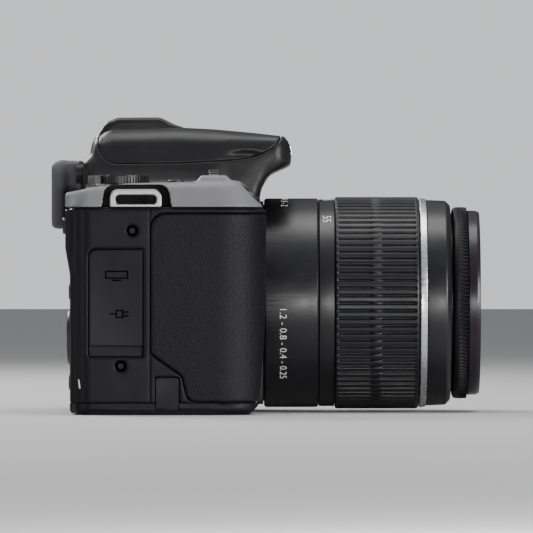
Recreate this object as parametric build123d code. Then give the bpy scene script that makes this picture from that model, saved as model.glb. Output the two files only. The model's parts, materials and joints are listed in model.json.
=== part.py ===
from build123d import *
from math import cos, radians, sin
import os

# A digital single-lens reflex camera with a zoom lens, as an assembly of separate pieces.
# Millimetres. +X runs forward along the lens axis, +Y to the user's left, +Z up.
# The origin is the mouth of the tripod socket, in the base plane under the lens axis.

# ---------------------------------------------------------------- driving dimensions

WALL = 2.2                      # wall of the moulded covers
SKIN = 1.0                      # thickness of the grip rubber
GAP = 0.3                       # clearance round a moving piece

RIGHT_Y, LEFT_Y = -69.0, 53.4   # grip side and hinge side: 122.4 wide
REAR_X, FACE_X = -30.0, 12.0    # back of the rear cover, front face beside the mount
NOSE_X = 29.9                   # front of the grip
NOSE_SIDE = [                   # its front seen from the side, leaning back towards the foot
    (24.6, -10.0), (24.6, 0.2), (27.5, 2.9), (29.9, 26.0), (40.3, 130.0)
]
GRIP_INNER_Y = -44.5            # side of the grip that the fingertips reach
SPLIT_X = -6.4                  # joint between the rear and front covers
BASE_Z, SHOULDER_Z = 3.6, 65.0  # top of the bottom cover, bottom of the top cover

AXIS_Z = 34.8                   # lens axis
FLANGE_X = 29.0                 # lens flange
THROAT_R = 25.0                 # opening in the body mount
BULGE_R = 35.0                  # round housing that carries the mount

SCREEN_X = (-31.4, -25.4)       # swing-out screen, outer and inner face
SCREEN_Y = (-31.0, 43.4)
SCREEN_Z = (3.2, 57.2)
SWING_Y = 49.3                  # vertical axis that the screen swings on
BRACKET_HALF = 10.0             # half height of the hinge bracket

FLASH_X, FLASH_Z = -17.0, 85.6  # hinge of the pop-up flash
FLASH_R = 6.6                   # round end of the flash arms
FLASH_SWEEP = 21.9              # the flash clears the block behind it beyond this radius
CENTRE_Y, CENTRE_X = 14.7, 3.5  # fixed block between the arms, which carries the hot shoe

THUMB_X, PAD_X = -33.0, -31.5   # back of the thumb rest, and of the control pad below it
THUMB_Y = (-66.0, -37.0)

MODE_DIAL = (-16.4, -52.0, 70.9)    # middle of the dial's recess, on its floor
LEVER_TURN = 50.0               # angle of the power switch's lever from straight back
MAIN_DIAL = (13.6, -55.3, 68.9)
SHUTTER = (24.2, -55.0, 69.6)
SLOPE = 43.0                    # fall of the grip's top towards its front, in degrees

ZOOM_RIBS, FOCUS_RIBS = 88, 150

# terminal door, mains lead flap and remote door: extents and the depth of their recesses
DOOR_X, DOOR_Z, DOOR_DEEP = (-25.5, -8.7), (18.3, 51.8), -67.3
DOOR_RADII = [0.8, 0.4, 0.4, 2.4]
FLAP_X, FLAP_Z, FLAP_DEEP = (-4.5, 2.6), (1.2, 11.6), -67.2
REMOTE_X, REMOTE_Z, REMOTE_DEEP = (-15.0, 4.0), (20.0, 52.0), 51.7
HINGE_EDGE = 0.6                # rounding of the edge that a rubber door turns on
FLAP_HINGE = (-68.2, 1.9)       # Y and Z of the mains lead flap's hinge

BATTERY_X, BATTERY_Y = (-12.5, 21.0), (-64.5, -47.8)
DOOR_HINGE_Y, DOOR_HINGE_Z = -47.6, 1.2     # hinge of the battery door

SIDE_SCREWS = [(-11.9, 57.6), (-15.5, 15.3)]
LEFT_SCREWS = [(-14.0, 58.0), (-14.0, 12.0)]
BASE_SCREWS = [(-22.0, 40.0), (6.0, 44.0), (-22.0, -20.0), (8.0, -34.0)]

REAR_KEYS = {
    # name: (y, z, radius, x of the face round it, height above that face)
    "live_view_button": (-24.6, 61.2, 2.6, -30.0, 0.9),
    "menu_button": (36.5, 61.2, 2.6, -30.0, 0.9),
    "info_button": (27.0, 61.2, 2.6, -30.0, 0.9),
    "ae_lock_button": (-49.0, 59.2, 2.6, THUMB_X, 0.9),
    "af_point_button": (-58.5, 59.2, 2.6, THUMB_X, 0.9),
    "exposure_button": (-42.0, 38.6, 2.6, PAD_X, 0.9),
    "playback_button": (-42.0, 10.0, 2.6, PAD_X, 0.9),
}
CROSS_Y, CROSS_Z, CROSS_R, SET_R = -51.0, 24.2, 8.6, 3.6    # four-way ring and its middle key
CROSS_FACE_X = -32.7

MIRROR_HINGE = (0.6, 46.4)      # X and Z

SCREEN_MID_X = sum(SCREEN_X) / 2
TILT_Z = sum(SCREEN_Z) / 2
SEAM_Z = FLASH_Z - FLASH_R      # underside of the flash
SLOPE_UP = (sin(radians(SLOPE)), 0, cos(radians(SLOPE)))

# ---------------------------------------------------------------- helpers


def outline(points, radii):
    """A closed flat face with a round corner of its own radius at each point."""
    return make_face(FilletPolyline(*points, radius=radii, close=True))


def polygon(points):
    return make_face(Polyline(*points, close=True))


def along_z(face, z0, z1):
    return extrude(Pos(0, 0, z0) * face, amount=z1 - z0, dir=(0, 0, 1))


def along_y(face, y0, y1):
    """A face drawn in X and Z, extruded from y0 to y1."""
    plane = Plane(origin=(0, y0, 0), x_dir=(1, 0, 0), z_dir=(0, -1, 0))
    return extrude(plane * face, amount=y1 - y0, dir=(0, 1, 0))


def along_x(face, x0, x1):
    """A face drawn in Y and Z, extruded from x0 to x1."""
    plane = Plane(origin=(x0, 0, 0), x_dir=(0, 1, 0), z_dir=(1, 0, 0))
    return extrude(plane * face, amount=x1 - x0, dir=(1, 0, 0))


def block(x, y, z, radius=0, axis=Axis.Z):
    """A box between the two ends given in each direction, with the edges along one axis rounded."""
    box = Box(x[1] - x[0], y[1] - y[0], z[1] - z[0], align=(Align.MIN,) * 3)
    box = Pos(x[0], y[0], z[0]) * box
    return fillet(box.edges().filter_by(axis), radius) if radius else box


def rod(start, direction, length, radius):
    """A cylinder from a point along a direction."""
    low = (Align.CENTER, Align.CENTER, Align.MIN)
    return Plane(origin=start, z_dir=direction) * Cylinder(radius, length, align=low)


def lathe(points):
    """Points of distance along and from the lens axis, turned about that axis."""
    face = polygon([(x, AXIS_Z + r) for x, r in points])
    plane = Plane(origin=(0, 0, 0), x_dir=(1, 0, 0), z_dir=(0, -1, 0))
    return revolve(plane * face, axis=Axis((0, 0, AXIS_Z), (1, 0, 0)))


def tube(x0, x1, inner, outer):
    return lathe([(x0, inner), (x1, inner), (x1, outer), (x0, outer)])


def lens_disc(x0, x1, radius):
    return rod((x0, 0, AXIS_Z), (1, 0, 0), x1 - x0, radius)


def star(root, tip, teeth, share=0.55):
    """A flat ring of flat-topped teeth, each taking a share of its pitch."""
    pitch = 360 / teeth
    corners = [(0, root), (0, tip), (share, tip), (share, root)]
    return polygon(
        [
            (r * cos(radians((n + part) * pitch)), r * sin(radians((n + part) * pitch)))
            for n in range(teeth)
            for part, r in corners
        ]
    )


def ribbed(x0, x1, root, tip, teeth):
    """A solid bar of teeth along the lens axis."""
    plane = Plane(origin=(x0, 0, AXIS_Z), x_dir=(0, 1, 0), z_dir=(1, 0, 0))
    return extrude(plane * star(root, tip, teeth), amount=x1 - x0)


def button(start, direction, length, radius, edge=0.4):
    """A round push button with a softened top edge."""
    cap = rod(start, direction, length, radius)
    top = cap.faces().sort_by(Axis(start, direction))[-1]
    return fillet(top.edges(), edge)


def union(*solids):
    joined = solids[0]
    for solid in solids[1:]:
        joined = joined + solid
    return joined


# ---------------------------------------------------------------- body envelope


def body_face():
    """The body seen from above, with the grip's nose at the front of its right side."""
    return outline(
        [
            (REAR_X, LEFT_Y),
            (FACE_X, LEFT_Y),
            (FACE_X, GRIP_INNER_Y),
            (NOSE_X, GRIP_INNER_Y),
            (NOSE_X, RIGHT_Y),
            (REAR_X, RIGHT_Y),
        ],
        [6.0, 9.0, 4.0, 6.5, 15.0, 5.0],
    )


def body_block(inset, z0, z1):
    """The body's outline between two heights, drawn in by an inset."""
    face = body_face()
    return along_z(offset(face, amount=-inset) if inset else face, z0, z1) & nose_side(inset)


def nose_side(inset=0.0):
    """Everything behind the leaning front of the grip."""
    front = [(x - inset, z) for x, z in NOSE_SIDE]
    return along_y(outline([(-60, -10), *front, (-60, 130)], [0.5, 0.5, 1.5, 1.5, 0.5, 0.5, 0.5]), -90, 90)


def base_block():
    """The body's outline with its bottom edge rounded, and the foot of the control pad."""
    face = body_face()
    solid = along_z(face, 0, 20)
    solid = fillet(solid.faces().sort_by(Axis.Z)[0].edges(), 2.2)
    foot = outline(
        [(-27.9, 0.6), (PAD_X + 0.6, 0.6), (PAD_X, 1.4), (PAD_X, 20.0), (-27.9, 20.0)],
        [0.1, 0.4, 0.4, 0.1, 0.1],
    )
    return solid + (along_y(foot, *THUMB_Y) & thumb_plan())


def behind(x):
    return block((-60, x), (-90, 90), (-20, 130))


def screen_recess():
    """Space behind the closed screen, with a round well for its swing bracket."""
    flat = block((-60, SCREEN_X[1] + GAP), (SCREEN_Y[0] - 0.6, SCREEN_Y[1] + 0.6),
                 (-5, SCREEN_Z[1] + 0.5))
    reach = BRACKET_HALF + 0.5
    well = rod((SCREEN_MID_X, SWING_Y, TILT_Z - reach), (0, 0, 1), 2 * reach, 7.4)
    mouth = block((-60, SCREEN_X[1] + GAP), (SCREEN_Y[1], 80), (TILT_Z - reach, TILT_Z + reach))
    return union(flat, well, mouth)


def grip_region(grow=0.0):
    """Side view of the grip rubber: a rounded panel with a stepped lower rear corner."""
    side = outline(
        [(-6.4, 63.1), (60, 63.1), (60, 3.9), (5.4, 3.9), (3.4, 12.2), (-6.4, 19.2)],
        [5.0, 0.5, 0.5, 3.5, 2.5, 2.5],
    )
    side = offset(side, amount=grow) if grow else side
    wrap = along_y(side, RIGHT_Y - 2, GRIP_INNER_Y + 2)
    return wrap - block((-20, FACE_X + 1.5), (-60, 0), (0, 70))


def door_side(x, z, y_deep, radii, grow=0.0):
    """A rounded panel let into the right side, between the side face and y_deep."""
    face = outline(
        [
            (x[0] - grow, z[0] - grow),
            (x[1] + grow, z[0] - grow),
            (x[1] + grow, z[1] + grow),
            (x[0] - grow, z[1] + grow),
        ],
        radii,
    )
    return along_y(face, RIGHT_Y - 3 if grow else RIGHT_Y, y_deep)


def key_bore(name):
    y, z, radius, face_x, _ = REAR_KEYS[name]
    return rod((face_x - 2, y, z), (1, 0, 0), 8, radius + 0.25)


def rear_key(name):
    y, z, radius, face_x, stand = REAR_KEYS[name]
    key = button((face_x + 2.8, y, z), (-1, 0, 0), 2.8 + stand, radius)
    return key + rod((face_x + 2.8, y, z), (1, 0, 0), 1.0, radius - 0.9)


def screw_spots():
    """Each cover screw's place on the surface and its direction outwards."""
    spots = [((x, RIGHT_Y, z), (0, -1, 0)) for x, z in SIDE_SCREWS]
    spots += [((x, LEFT_Y, z), (0, 1, 0)) for x, z in LEFT_SCREWS]
    spots += [((x, y, 0), (0, 0, -1)) for x, y in BASE_SCREWS]
    return spots


def backwards(point, direction, depth):
    return tuple(p - d * depth for p, d in zip(point, direction))


def screw_seats():
    """Counterbores of the cover screws, cut from the surface inwards."""
    return union(*[rod(backwards(p, d, 1.3), d, 4, 1.75) for p, d in screw_spots()])


def cover_screws():
    """Cross-head screws in their counterbores."""
    screws = []
    for point, way in screw_spots():
        head = rod(backwards(point, way, 1.3), way, 0.9, 1.55)
        arms = [
            Plane(origin=backwards(point, way, 0.4), z_dir=way) * Box(*size)
            for size in ((1.9, 0.4, 0.9), (0.4, 1.9, 0.9))
        ]
        screws.append(head - arms[0] - arms[1])
    return Compound(children=[s.solid() for s in screws])


# ---------------------------------------------------------------- prism hump and flash


def hump_solid(inset=0.0):
    """Outer form of the prism housing: side, front and top views crossed with one another."""
    foot = SHOULDER_Z - 2 * inset
    side = outline(
        [
            (-28.5, foot),
            (-28.5, 79.8),
            (-24.6, 87.0),
            (-17.0, 90.4),
            (12.0, 90.4),
            (36.2, 87.9),
            (37.9, 79.2),
            (30.2, 76.6),
            (27.4, 67.6),
            (28.6, foot),
        ],
        [0.5, 1.5, 6.0, 5.0, 20.0, 2.2, 1.2, 5.0, 3.0, 0.5],
    )
    front = outline(
        [
            (-41.0, SHOULDER_Z - 5),
            (-30.5, 73.0),
            (-26.5, 79.0),
            (-22.0, 93.0),
            (22.0, 93.0),
            (26.5, 79.0),
            (30.5, 73.0),
            (41.0, SHOULDER_Z - 5),
        ],
        [0.5, 5.0, 8.0, 5.0, 5.0, 8.0, 5.0, 0.5],
    )
    half = [
        (-31.5, 25.0),
        (-22.0, 35.5),
        (4.0, 38.0),
        (11.8, 34.5),
        (17.0, 27.2),
        (30.0, 26.4),
        (39.5, 21.0),
    ]
    radii = [3.0, 8.0, 6.0, 5.0, 6.0, 8.0, 3.0]
    other_half = [(x, -y) for x, y in reversed(half)]
    plan = outline(half + other_half, radii + radii)
    if inset:
        side, front, plan = [offset(face, amount=-inset) for face in (side, front, plan)]
    return along_y(side, -45, 45) & along_x(front, -40, 50) & along_z(plan, 50, 100)


def ridge():
    """Raised sides of the accessory shoe."""
    side = outline(
        [(-26.4, 82.0), (-21.8, 92.4), (-14.0, 94.1), (-3.6, 94.1), (2.6, 90.6), (2.6, 82.0)],
        [1.0, 5.0, 4.0, 4.0, 1.0, 0.5],
    )
    return along_y(side, -CENTRE_Y, CENTRE_Y)


def shoe_channel():
    return block((-60, -3.2), (-10.7, 10.7), (90.3, 99))


def flash_space(clear=0.0):
    """Everything over the flash seam, outside the fixed block that the shoe stands on.

    The round end is cut wider than the arm, whose upper corner swings through it.
    """
    over = polygon(
        [
            (FLASH_X, SEAM_Z),
            (4.0, SEAM_Z + 0.2),
            (14.0, 79.8),
            (22.6, 80.5),
            (27.6, 81.7),
            (31.3, 83.6),
            (33.8, 85.9),
            (35.0, 88.6),
            (35.2, 99),
            (FLASH_X, 99),
        ]
    )
    side = over + Pos(FLASH_X, FLASH_Z) * Circle(FLASH_R if clear else FLASH_R + 0.25)
    side = offset(side, amount=-clear) if clear else side
    centre = block((-60, CENTRE_X + clear), (-CENTRE_Y - clear, CENTRE_Y + clear), (60, 120))
    return along_y(side, -40, 40) - centre


def flash_pins(radius):
    pins = [rod((FLASH_X, s * 11.0, FLASH_Z), (0, s, 0), 7.0, radius) for s in (-1, 1)]
    return pins[0] + pins[1]


def prism_cover():
    """Housing over the viewfinder, which carries the flash and the accessory shoe."""
    centre = block((-60, CENTRE_X), (-CENTRE_Y, CENTRE_Y), (60, 120))
    cover = hump_solid() - flash_space() + (ridge() & centre)
    hollow = hump_solid(WALL) & block((-40, 25.5), (-40, 40), (60, SEAM_Z - 1.8))
    hollow = hollow + block((-24, 0), (-10, 10), (70, 88))
    cover = cover - hollow - shoe_channel() - flash_pins(1.5)
    cover = cover - block((-40, -20), (-10.5, 10.5), (63.4, 76.0))
    cover = cover - lens_disc(FLANGE_X - 2.3, 60, 33.0)
    return keep_largest(cover - rod((-40, -19.6, 76.0), (1, 0, 0), 12.5, 3.4))


def flash_head():
    """Flash housing with its two arms, which reach back to the hinge."""
    head = hump_solid() & flash_space(GAP)
    reach = CENTRE_Y + GAP
    sweep = rod((FLASH_X, -reach, FLASH_Z), (0, 1, 0), 2 * reach, FLASH_SWEEP)
    well = block((5.9, 20.7), (-18.2, 18.2), (70, 83.6))
    return head - sweep - well + (flash_pins(1.45) & block((-30, 0), (-17, 17), (70, 99)))


def flash_window():
    return block((6.0, 20.6), (-18.1, 18.1), (80.9, 82.4), 1.0)


def hot_shoe():
    """Channel that an accessory's foot slides into, with lips over both sides."""
    rails = (-18.0, -3.4)
    floor = block(rails, (-10.6, 10.6), (90.3, 91.0))
    walls = [block(rails, side, (91.0, 93.9)) for side in ((-10.6, -9.4), (9.4, 10.6))]
    lips = [block(rails, side, (93.1, 93.9)) for side in ((-9.4, -6.3), (6.3, 9.4))]
    stop = block((-4.6, -3.4), (-9.4, 9.4), (91.0, 92.6))
    contacts = rod((-12.7, 0, 91.0), (0, 0, 1), 0.25, 1.1)
    return union(floor, *walls, *lips, stop, contacts)


# ---------------------------------------------------------------- covers


def top_shape(drop=0.0, inset=0.0):
    """Shoulders in side view, crossed with the body seen from above."""
    side = outline(
        [
            (REAR_X - 2.0, SHOULDER_Z - 0.01),
            (REAR_X - 2.0, 69.4 - drop),
            (-20.0, 71.9 - drop),
            (21.2, 73.4 - drop),
            (30.0, SHOULDER_Z - 0.01),
        ],
        [0.3, 1.8, 8.0, 2.5, 0.3],
    )
    return along_y(side, -80, 80) & body_block(inset, SHOULDER_Z, 80)


def dial_housing():
    """Low hood that the main dial stands in."""
    hood = outline([(7.6, 70), (9.2, 75.0), (17.8, 75.0), (19.8, 70)], [0.5, 1.4, 1.4, 0.5])
    return along_y(hood, MAIN_DIAL[1] - 8.4, MAIN_DIAL[1] + 8.4)


def thumb_top():
    """The thumb rest's upper end, which the top cover carries on to its own top."""
    side = outline(
        [(THUMB_X, SHOULDER_Z), (THUMB_X, 69.6), (-26.0, 70.7), (-26.0, SHOULDER_Z)],
        [0.1, 1.2, 0.1, 0.1],
    )
    return along_y(side, *THUMB_Y) & thumb_plan()


def lug_pocket(side):
    """Pocket in a shoulder behind a strap lug: open outwards and downwards."""
    face = outline([(-22.0, 60), (-20.4, 71.8), (-0.9, 71.8), (0.9, 60)], [0.5, 3.2, 3.2, 0.5])
    return along_y(face, -90, RIGHT_Y + 5) if side < 0 else along_y(face, LEFT_Y - 5, 90)


def top_cover():
    """Both shoulders, with the seats of the dials and of the buttons on top."""
    shoulders = top_shape() + dial_housing() + thumb_top()
    hollow = top_shape(2.0, WALL) - block((-24, 3), (-70, -61), (60, 80))
    hollow = hollow - block((-24, 3), (45, 60), (60, 80)) + block((4, 24), (-62, -46), (60, 71.0))
    cover = shoulders - hollow - hump_solid()
    for side in (-1, 1):
        cover = cover - (lug_pocket(side) & block((-30, 10), (-90, 90), (SHOULDER_Z - 1, 80)))
    x, y, z = MODE_DIAL
    cover = cover - rod((x, y, z), (0, 0, 1), 9, 11.0) - rod((x, y, z - 6), (0, 0, 1), 9, 2.6)
    x, y, z = MAIN_DIAL
    cover = cover - rod((x - 2.0, y, z), (1, 0, 0), 4.0, 8.5)
    for cheek in ((x - 3.5, x - 2.0), (x + 2.0, x + 3.5)):
        cover = cover + block(cheek, (y - 6, y + 6), (66.0, 72.0))
    cover = cover + rod((x - 3.0, y, z), (1, 0, 0), 6.0, 1.45)
    cover = cover - shutter_bore() - eyecup_slot()
    for y in (-47.0, -58.0):
        cover = cover - rod((1.6, y, 66), (0, 0, 1), 12, 2.65)
    return keep_largest(cover)


def shutter_bore():
    """Bore that the shutter button sits in, through the top of the grip."""
    return rod(backwards(SHUTTER, SLOPE_UP, 6), SLOPE_UP, 12, 5.1)


def eyecup_slot():
    return block((-40, -28.5), (-13.9, 13.9), (60, 90))


def keep_largest(shape):
    """Drops loose slivers that a cut leaves."""
    return shape.solids().sort_by(SortBy.VOLUME)[-1]


def front_cover():
    """Front shell with the grip and the round housing of the mount."""
    flanks = polygon([(-32.4, 48.0), (-25.6, 66.0), (25.6, 66.0), (32.4, 48.0)])
    bulge = lens_disc(0, FLANGE_X - 2.2, BULGE_R) + along_x(flanks, 0, FLANGE_X - 2.2)
    inner = polygon([(-29.0, 48.0), (-23.4, 67.0), (23.4, 67.0), (29.0, 48.0)])
    bore = lens_disc(-5, FLANGE_X - 5, BULGE_R - 2.6) + along_x(inner, -5, FLANGE_X - 5)
    hollow = body_block(WALL, BASE_Z - 1, SHOULDER_Z + 1)
    cover = body_block(0, BASE_Z, SHOULDER_Z) + bulge - hollow - bore
    cover = cover - lens_disc(0, 60, THROAT_R + 1.2)
    cover = cover & block((SPLIT_X, 60), (-90, 90), (BASE_Z, SHOULDER_Z))
    cover = cover - grip_rubber(GAP / 10)
    cover = cover - door_side(FLAP_X, FLAP_Z, FLAP_DEEP, [1.0] * 4, 0.25)
    cover = cover - remote_recess()
    cover = cover - rod((0, 42.6, AXIS_Z - 2), (1, 0, 0), 30, 5.4)
    cover = cover - rod((0, 43.0, 58.2), (1, 0, 0), 30, 3.1) - shutter_bore()
    return keep_largest(cover - screw_seats())


def thumb_plan():
    """The thumb rest seen from above, with both ends of its back rounded."""
    low, high = THUMB_Y
    face = outline(
        [(-20.0, low), (THUMB_X, low), (THUMB_X, high), (-20.0, high)],
        [0.5, 2.2, 2.2, 0.5],
    )
    return along_z(face, -1, 80)


def rear_cover():
    """Rear shell with the thumb rest, the screen's recess and the key bores."""
    thumb = outline(
        [
            (-28.5, BASE_Z),
            (PAD_X, BASE_Z),
            (PAD_X, 43.6),
            (THUMB_X, 52.0),
            (THUMB_X, SHOULDER_Z),
            (-28.5, SHOULDER_Z),
        ],
        [0.1, 0.1, 6.0, 8.0, 0.1, 0.1],
    )
    thumb = along_y(thumb, *THUMB_Y) & thumb_plan()
    deep = block((-27.8, 30), (-90, SCREEN_Y[0] - 3.2), (BASE_Z - 1, SHOULDER_Z + 1))
    shallow = block((SCREEN_X[1] + 2.2, 30), (-90, 90), (BASE_Z - 1, SHOULDER_Z + 1))
    upper = block((-27.8, 30), (-90, 44), (SCREEN_Z[1] + 2.4, SHOULDER_Z + 1))
    hollow = body_block(WALL, BASE_Z - 1, SHOULDER_Z + 1) & union(deep, shallow, upper)
    hollow = hollow - rod((SCREEN_MID_X, SWING_Y, 0), (0, 0, 1), 80, 9.4)
    cover = (body_block(0, BASE_Z, SHOULDER_Z) & behind(SPLIT_X)) - hollow + thumb
    cover = cover - screen_recess()
    for name in REAR_KEYS:
        cover = cover - key_bore(name)
    cover = cover - rod((-40, CROSS_Y, CROSS_Z), (1, 0, 0), 15, CROSS_R + GAP)
    cover = cover - door_side(DOOR_X, DOOR_Z, DOOR_DEEP, DOOR_RADII, 0.25) - socket_windows()
    cover = cover - remote_recess()
    return keep_largest(cover - screw_seats() + hinge_pintles())


def hinge_pintles():
    """Stub shafts above and below that the screen's bracket swings on."""
    reach = BRACKET_HALF + 0.6
    pins = [
        rod((SCREEN_MID_X, SWING_Y, TILT_Z + s * reach), (0, 0, -s), 3.6, 1.45) for s in (-1, 1)
    ]
    return pins[0] + pins[1]


def bottom_cover():
    """Base tray with the battery opening; it also carries the foot of the mount housing."""
    foot = outline([(8, -17), (8, 17), (FLANGE_X - 2.4, 15), (FLANGE_X - 2.4, -15)], [0.5, 0.5, 3, 3])
    base = base_block() & block((-60, 60), (-90, 90), (-1, BASE_Z))
    tray = base + along_z(foot, 0.8, BASE_Z) - body_block(WALL, 2.2, BASE_Z + 1)
    tray = tray - lens_disc(0, 60, BULGE_R - 2.6)
    under = (SCREEN_Y[0] - 0.6, SCREEN_Y[1] + 0.6)
    tray = tray - block((-60, SCREEN_X[1] + GAP), under, (SCREEN_Z[0] - 0.6, 9))
    tray = tray - block(BATTERY_X, BATTERY_Y, (-1, 9), 1.5)
    tray = tray - rod((BATTERY_X[0], DOOR_HINGE_Y, DOOR_HINGE_Z), (1, 0, 0), 33.5, 1.35)
    tray = tray - block(BATTERY_X, (BATTERY_Y[1] - 1, DOOR_HINGE_Y + 1.35), (-1, DOOR_HINGE_Z))
    tray = tray - rod((0, 0, -1), (0, 0, 1), 9, 7.0)
    tray = tray - door_side(FLAP_X, FLAP_Z, FLAP_DEEP, [1.0] * 4, 0.25) - flap_pins(0.7, 0.4)
    return keep_largest((tray - screw_seats() + hinge_ends(0.55)) & nose_side())


def grip_rubber(grow=0.0):
    """Skin that wraps the grip from its side round the nose to the fingertips."""
    skin = body_block(0, BASE_Z, SHOULDER_Z) - body_block(SKIN + grow, BASE_Z - 1, SHOULDER_Z + 1)
    return keep_largest(skin & grip_region(grow))


def tripod_socket():
    """Threaded bush, its bore at the thread's minor radius."""
    flange = rod((0, 0, 0), (0, 0, 1), 2.2, 6.9)
    barrel = rod((0, 0, 2.2), (0, 0, 1), 4.6, 4.6)
    return flange + barrel - rod((0, 0, -1), (0, 0, 1), 6.6, 2.6)


def strap_lugs():
    """Metal loops that stand in the shoulder pockets, one each side."""
    lugs = []
    for y0, y1 in ((RIGHT_Y + 0.5, RIGHT_Y + 2.3), (LEFT_Y - 2.3, LEFT_Y - 0.5)):
        loop = outline(
            [(-19.0, 62.5), (-19.0, 70.6), (-2.7, 70.6), (-2.7, 62.5)],
            [0.5, 2.8, 2.8, 0.5],
        )
        slot = outline([(-17.1, 65.9), (-17.1, 68.7), (-4.4, 68.7), (-4.4, 65.9)], [1.3] * 4)
        lug = along_y(loop, y0, y1) - along_y(slot, y0 - 1, y1 + 1)
        lugs.append(lug & block((-30, 10), (-90, 90), (SHOULDER_Z, 80)))
    return Compound(children=[lug.solid() for lug in lugs])


# ---------------------------------------------------------------- doors


def terminal_door():
    """Rubber cover of the sockets, hinged along its front edge, with a lip to lift it by."""
    main = door_side(DOOR_X, (21.4, DOOR_Z[1]), RIGHT_Y + 1.5, DOOR_RADII)
    front = main.edges().filter_by(Axis.Z).sort_by(Axis.X)[-2:].sort_by(Axis.Y)[0]
    main = fillet(front, HINGE_EDGE)
    lip_face = outline([(-25.3, 18.5), (-8.9, 18.5), (-8.9, 22), (-25.3, 22)], [0.8] * 4)
    lip = along_y(lip_face, RIGHT_Y + 0.8, RIGHT_Y + 1.5)
    depth = (RIGHT_Y + 1.4, RIGHT_Y + 3.4)
    plugs = [block((-23.0, -12.0), depth, z, 1.2, Axis.Y) for z in ((39.6, 43.6), (25.2, 29.2))]
    return union(main, lip, *plugs)


def socket_windows():
    """Windows over the side sockets, behind the terminal door."""
    windows = [block((-23.6, -11.4), (-69, -60), z) for z in ((39.2, 44.0), (24.8, 29.6))]
    return windows[0] + windows[1]


def coupler_flap():
    """Small rubber flap for a mains lead, turned down about its lower edge."""
    return (door_side(FLAP_X, FLAP_Z, RIGHT_Y + 1.5, [0.9] * 4) & base_block()) + flap_pins(0.5, 0.35)


def flap_pins(length, radius):
    """Short pins at both ends of the mains lead flap's hinge."""
    y, z = FLAP_HINGE
    front = rod((FLAP_X[1] - 0.4, y, z), (1, 0, 0), length + 0.4, radius)
    rear = rod((FLAP_X[0] + 0.4, y, z), (-1, 0, 0), length + 0.4, radius)
    return front + rear


def remote_recess():
    """Recess of the remote door, which crosses the joint of the front and rear covers."""
    x, z = (REMOTE_X[0] - 0.25, REMOTE_X[1] + 0.25), (REMOTE_Z[0] - 0.25, REMOTE_Z[1] + 0.25)
    return block(x, (REMOTE_DEEP, 60), z)


def remote_door():
    """Rubber cover of the remote and microphone sockets, on the left side."""
    plate = block(REMOTE_X, (LEFT_Y - 1.4, LEFT_Y), REMOTE_Z, 1.5, Axis.Y)
    front = plate.edges().filter_by(Axis.Z).sort_by(Axis.X)[-2:].sort_by(Axis.Y)[-1]
    plate = fillet(front, HINGE_EDGE)
    return plate + block((-13.4, -11.8), (LEFT_Y, LEFT_Y + 0.6), (30, 42))


def battery_door():
    """Door in the base, hinged along the inner edge of the battery opening."""
    length = (BATTERY_X[0] + GAP, BATTERY_X[1] - GAP)
    plate = block(length, (BATTERY_Y[0] + GAP, BATTERY_Y[1]), (0.3, 2.2), 1.2)
    plate = plate + block(length, (BATTERY_Y[1] - 3, BATTERY_Y[1] + 0.4), (0.3, 2.2))
    start = (length[0], DOOR_HINGE_Y, DOOR_HINGE_Z)
    spine = rod(start, (1, 0, 0), length[1] - length[0], 1.0)
    catch = block((0.0, 8.0), (BATTERY_Y[0] + 2.0, BATTERY_Y[0] + 4.6), (0.0, 0.31))
    return union(plate, spine, catch) - hinge_ends(0.6)


def hinge_ends(radius):
    """Short pins at both ends of the battery door's hinge."""
    ends = [
        rod((BATTERY_X[0] - 0.5, DOOR_HINGE_Y, DOOR_HINGE_Z), (1, 0, 0), 3.5, radius),
        rod((BATTERY_X[1] + 0.5, DOOR_HINGE_Y, DOOR_HINGE_Z), (-1, 0, 0), 3.5, radius),
    ]
    return ends[0] + ends[1]


# ---------------------------------------------------------------- swing-out screen


def screen_bracket():
    """Knuckle that swings on the body and carries the screen's turning pin."""
    low, high = TILT_Z - BRACKET_HALF, TILT_Z + BRACKET_HALF
    hub = rod((SCREEN_MID_X, SWING_Y, low), (0, 0, 1), 2 * BRACKET_HALF, 3.4)
    arm = block((SCREEN_X[0] + 0.3, SCREEN_X[1] - 0.3), (SCREEN_Y[1] + 0.4, SWING_Y), (low, high))
    pin = rod((SCREEN_MID_X, SCREEN_Y[1] + 1, TILT_Z), (0, -1, 0), 9.0, 1.6)
    bore = rod((SCREEN_MID_X, SWING_Y, low - 1), (0, 0, 1), 2 * BRACKET_HALF + 2, 1.5)
    return hub + arm + pin - bore


def screen_housing():
    """Shell of the screen, with a shallow pocket for its glass."""
    panel = block(SCREEN_X, SCREEN_Y, SCREEN_Z, 3.0, Axis.X)
    rims = panel.faces().filter_by(Axis.X)
    panel = fillet(rims.edges(), 0.9)
    pocket = block((SCREEN_X[0] - 1, SCREEN_X[0] + 0.7), (-28.2, 40.2), (6.2, 54.4), 1.2, Axis.X)
    bore = rod((SCREEN_MID_X, SCREEN_Y[1] + 2, TILT_Z), (0, -1, 0), 11.5, 1.65)
    return panel - pocket - bore


def screen_glass():
    return block((SCREEN_X[0] + 0.1, SCREEN_X[0] + 0.7), (-28.1, 40.1), (6.3, 54.3), 1.1, Axis.X)


# ---------------------------------------------------------------- controls


def mode_dial():
    """Knurled dial on a stem, with a flat top."""
    x, y, z = MODE_DIAL
    knurl = Pos(x, y, z + 1.5) * extrude(star(9.2, 9.6, 60), amount=2.3)
    top = rod((x, y, z + 3.8), (0, 0, 1), 0.3, 8.9)
    return knurl + top + rod((x, y, z - 4.5), (0, 0, 1), 6.0, 2.5)


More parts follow.
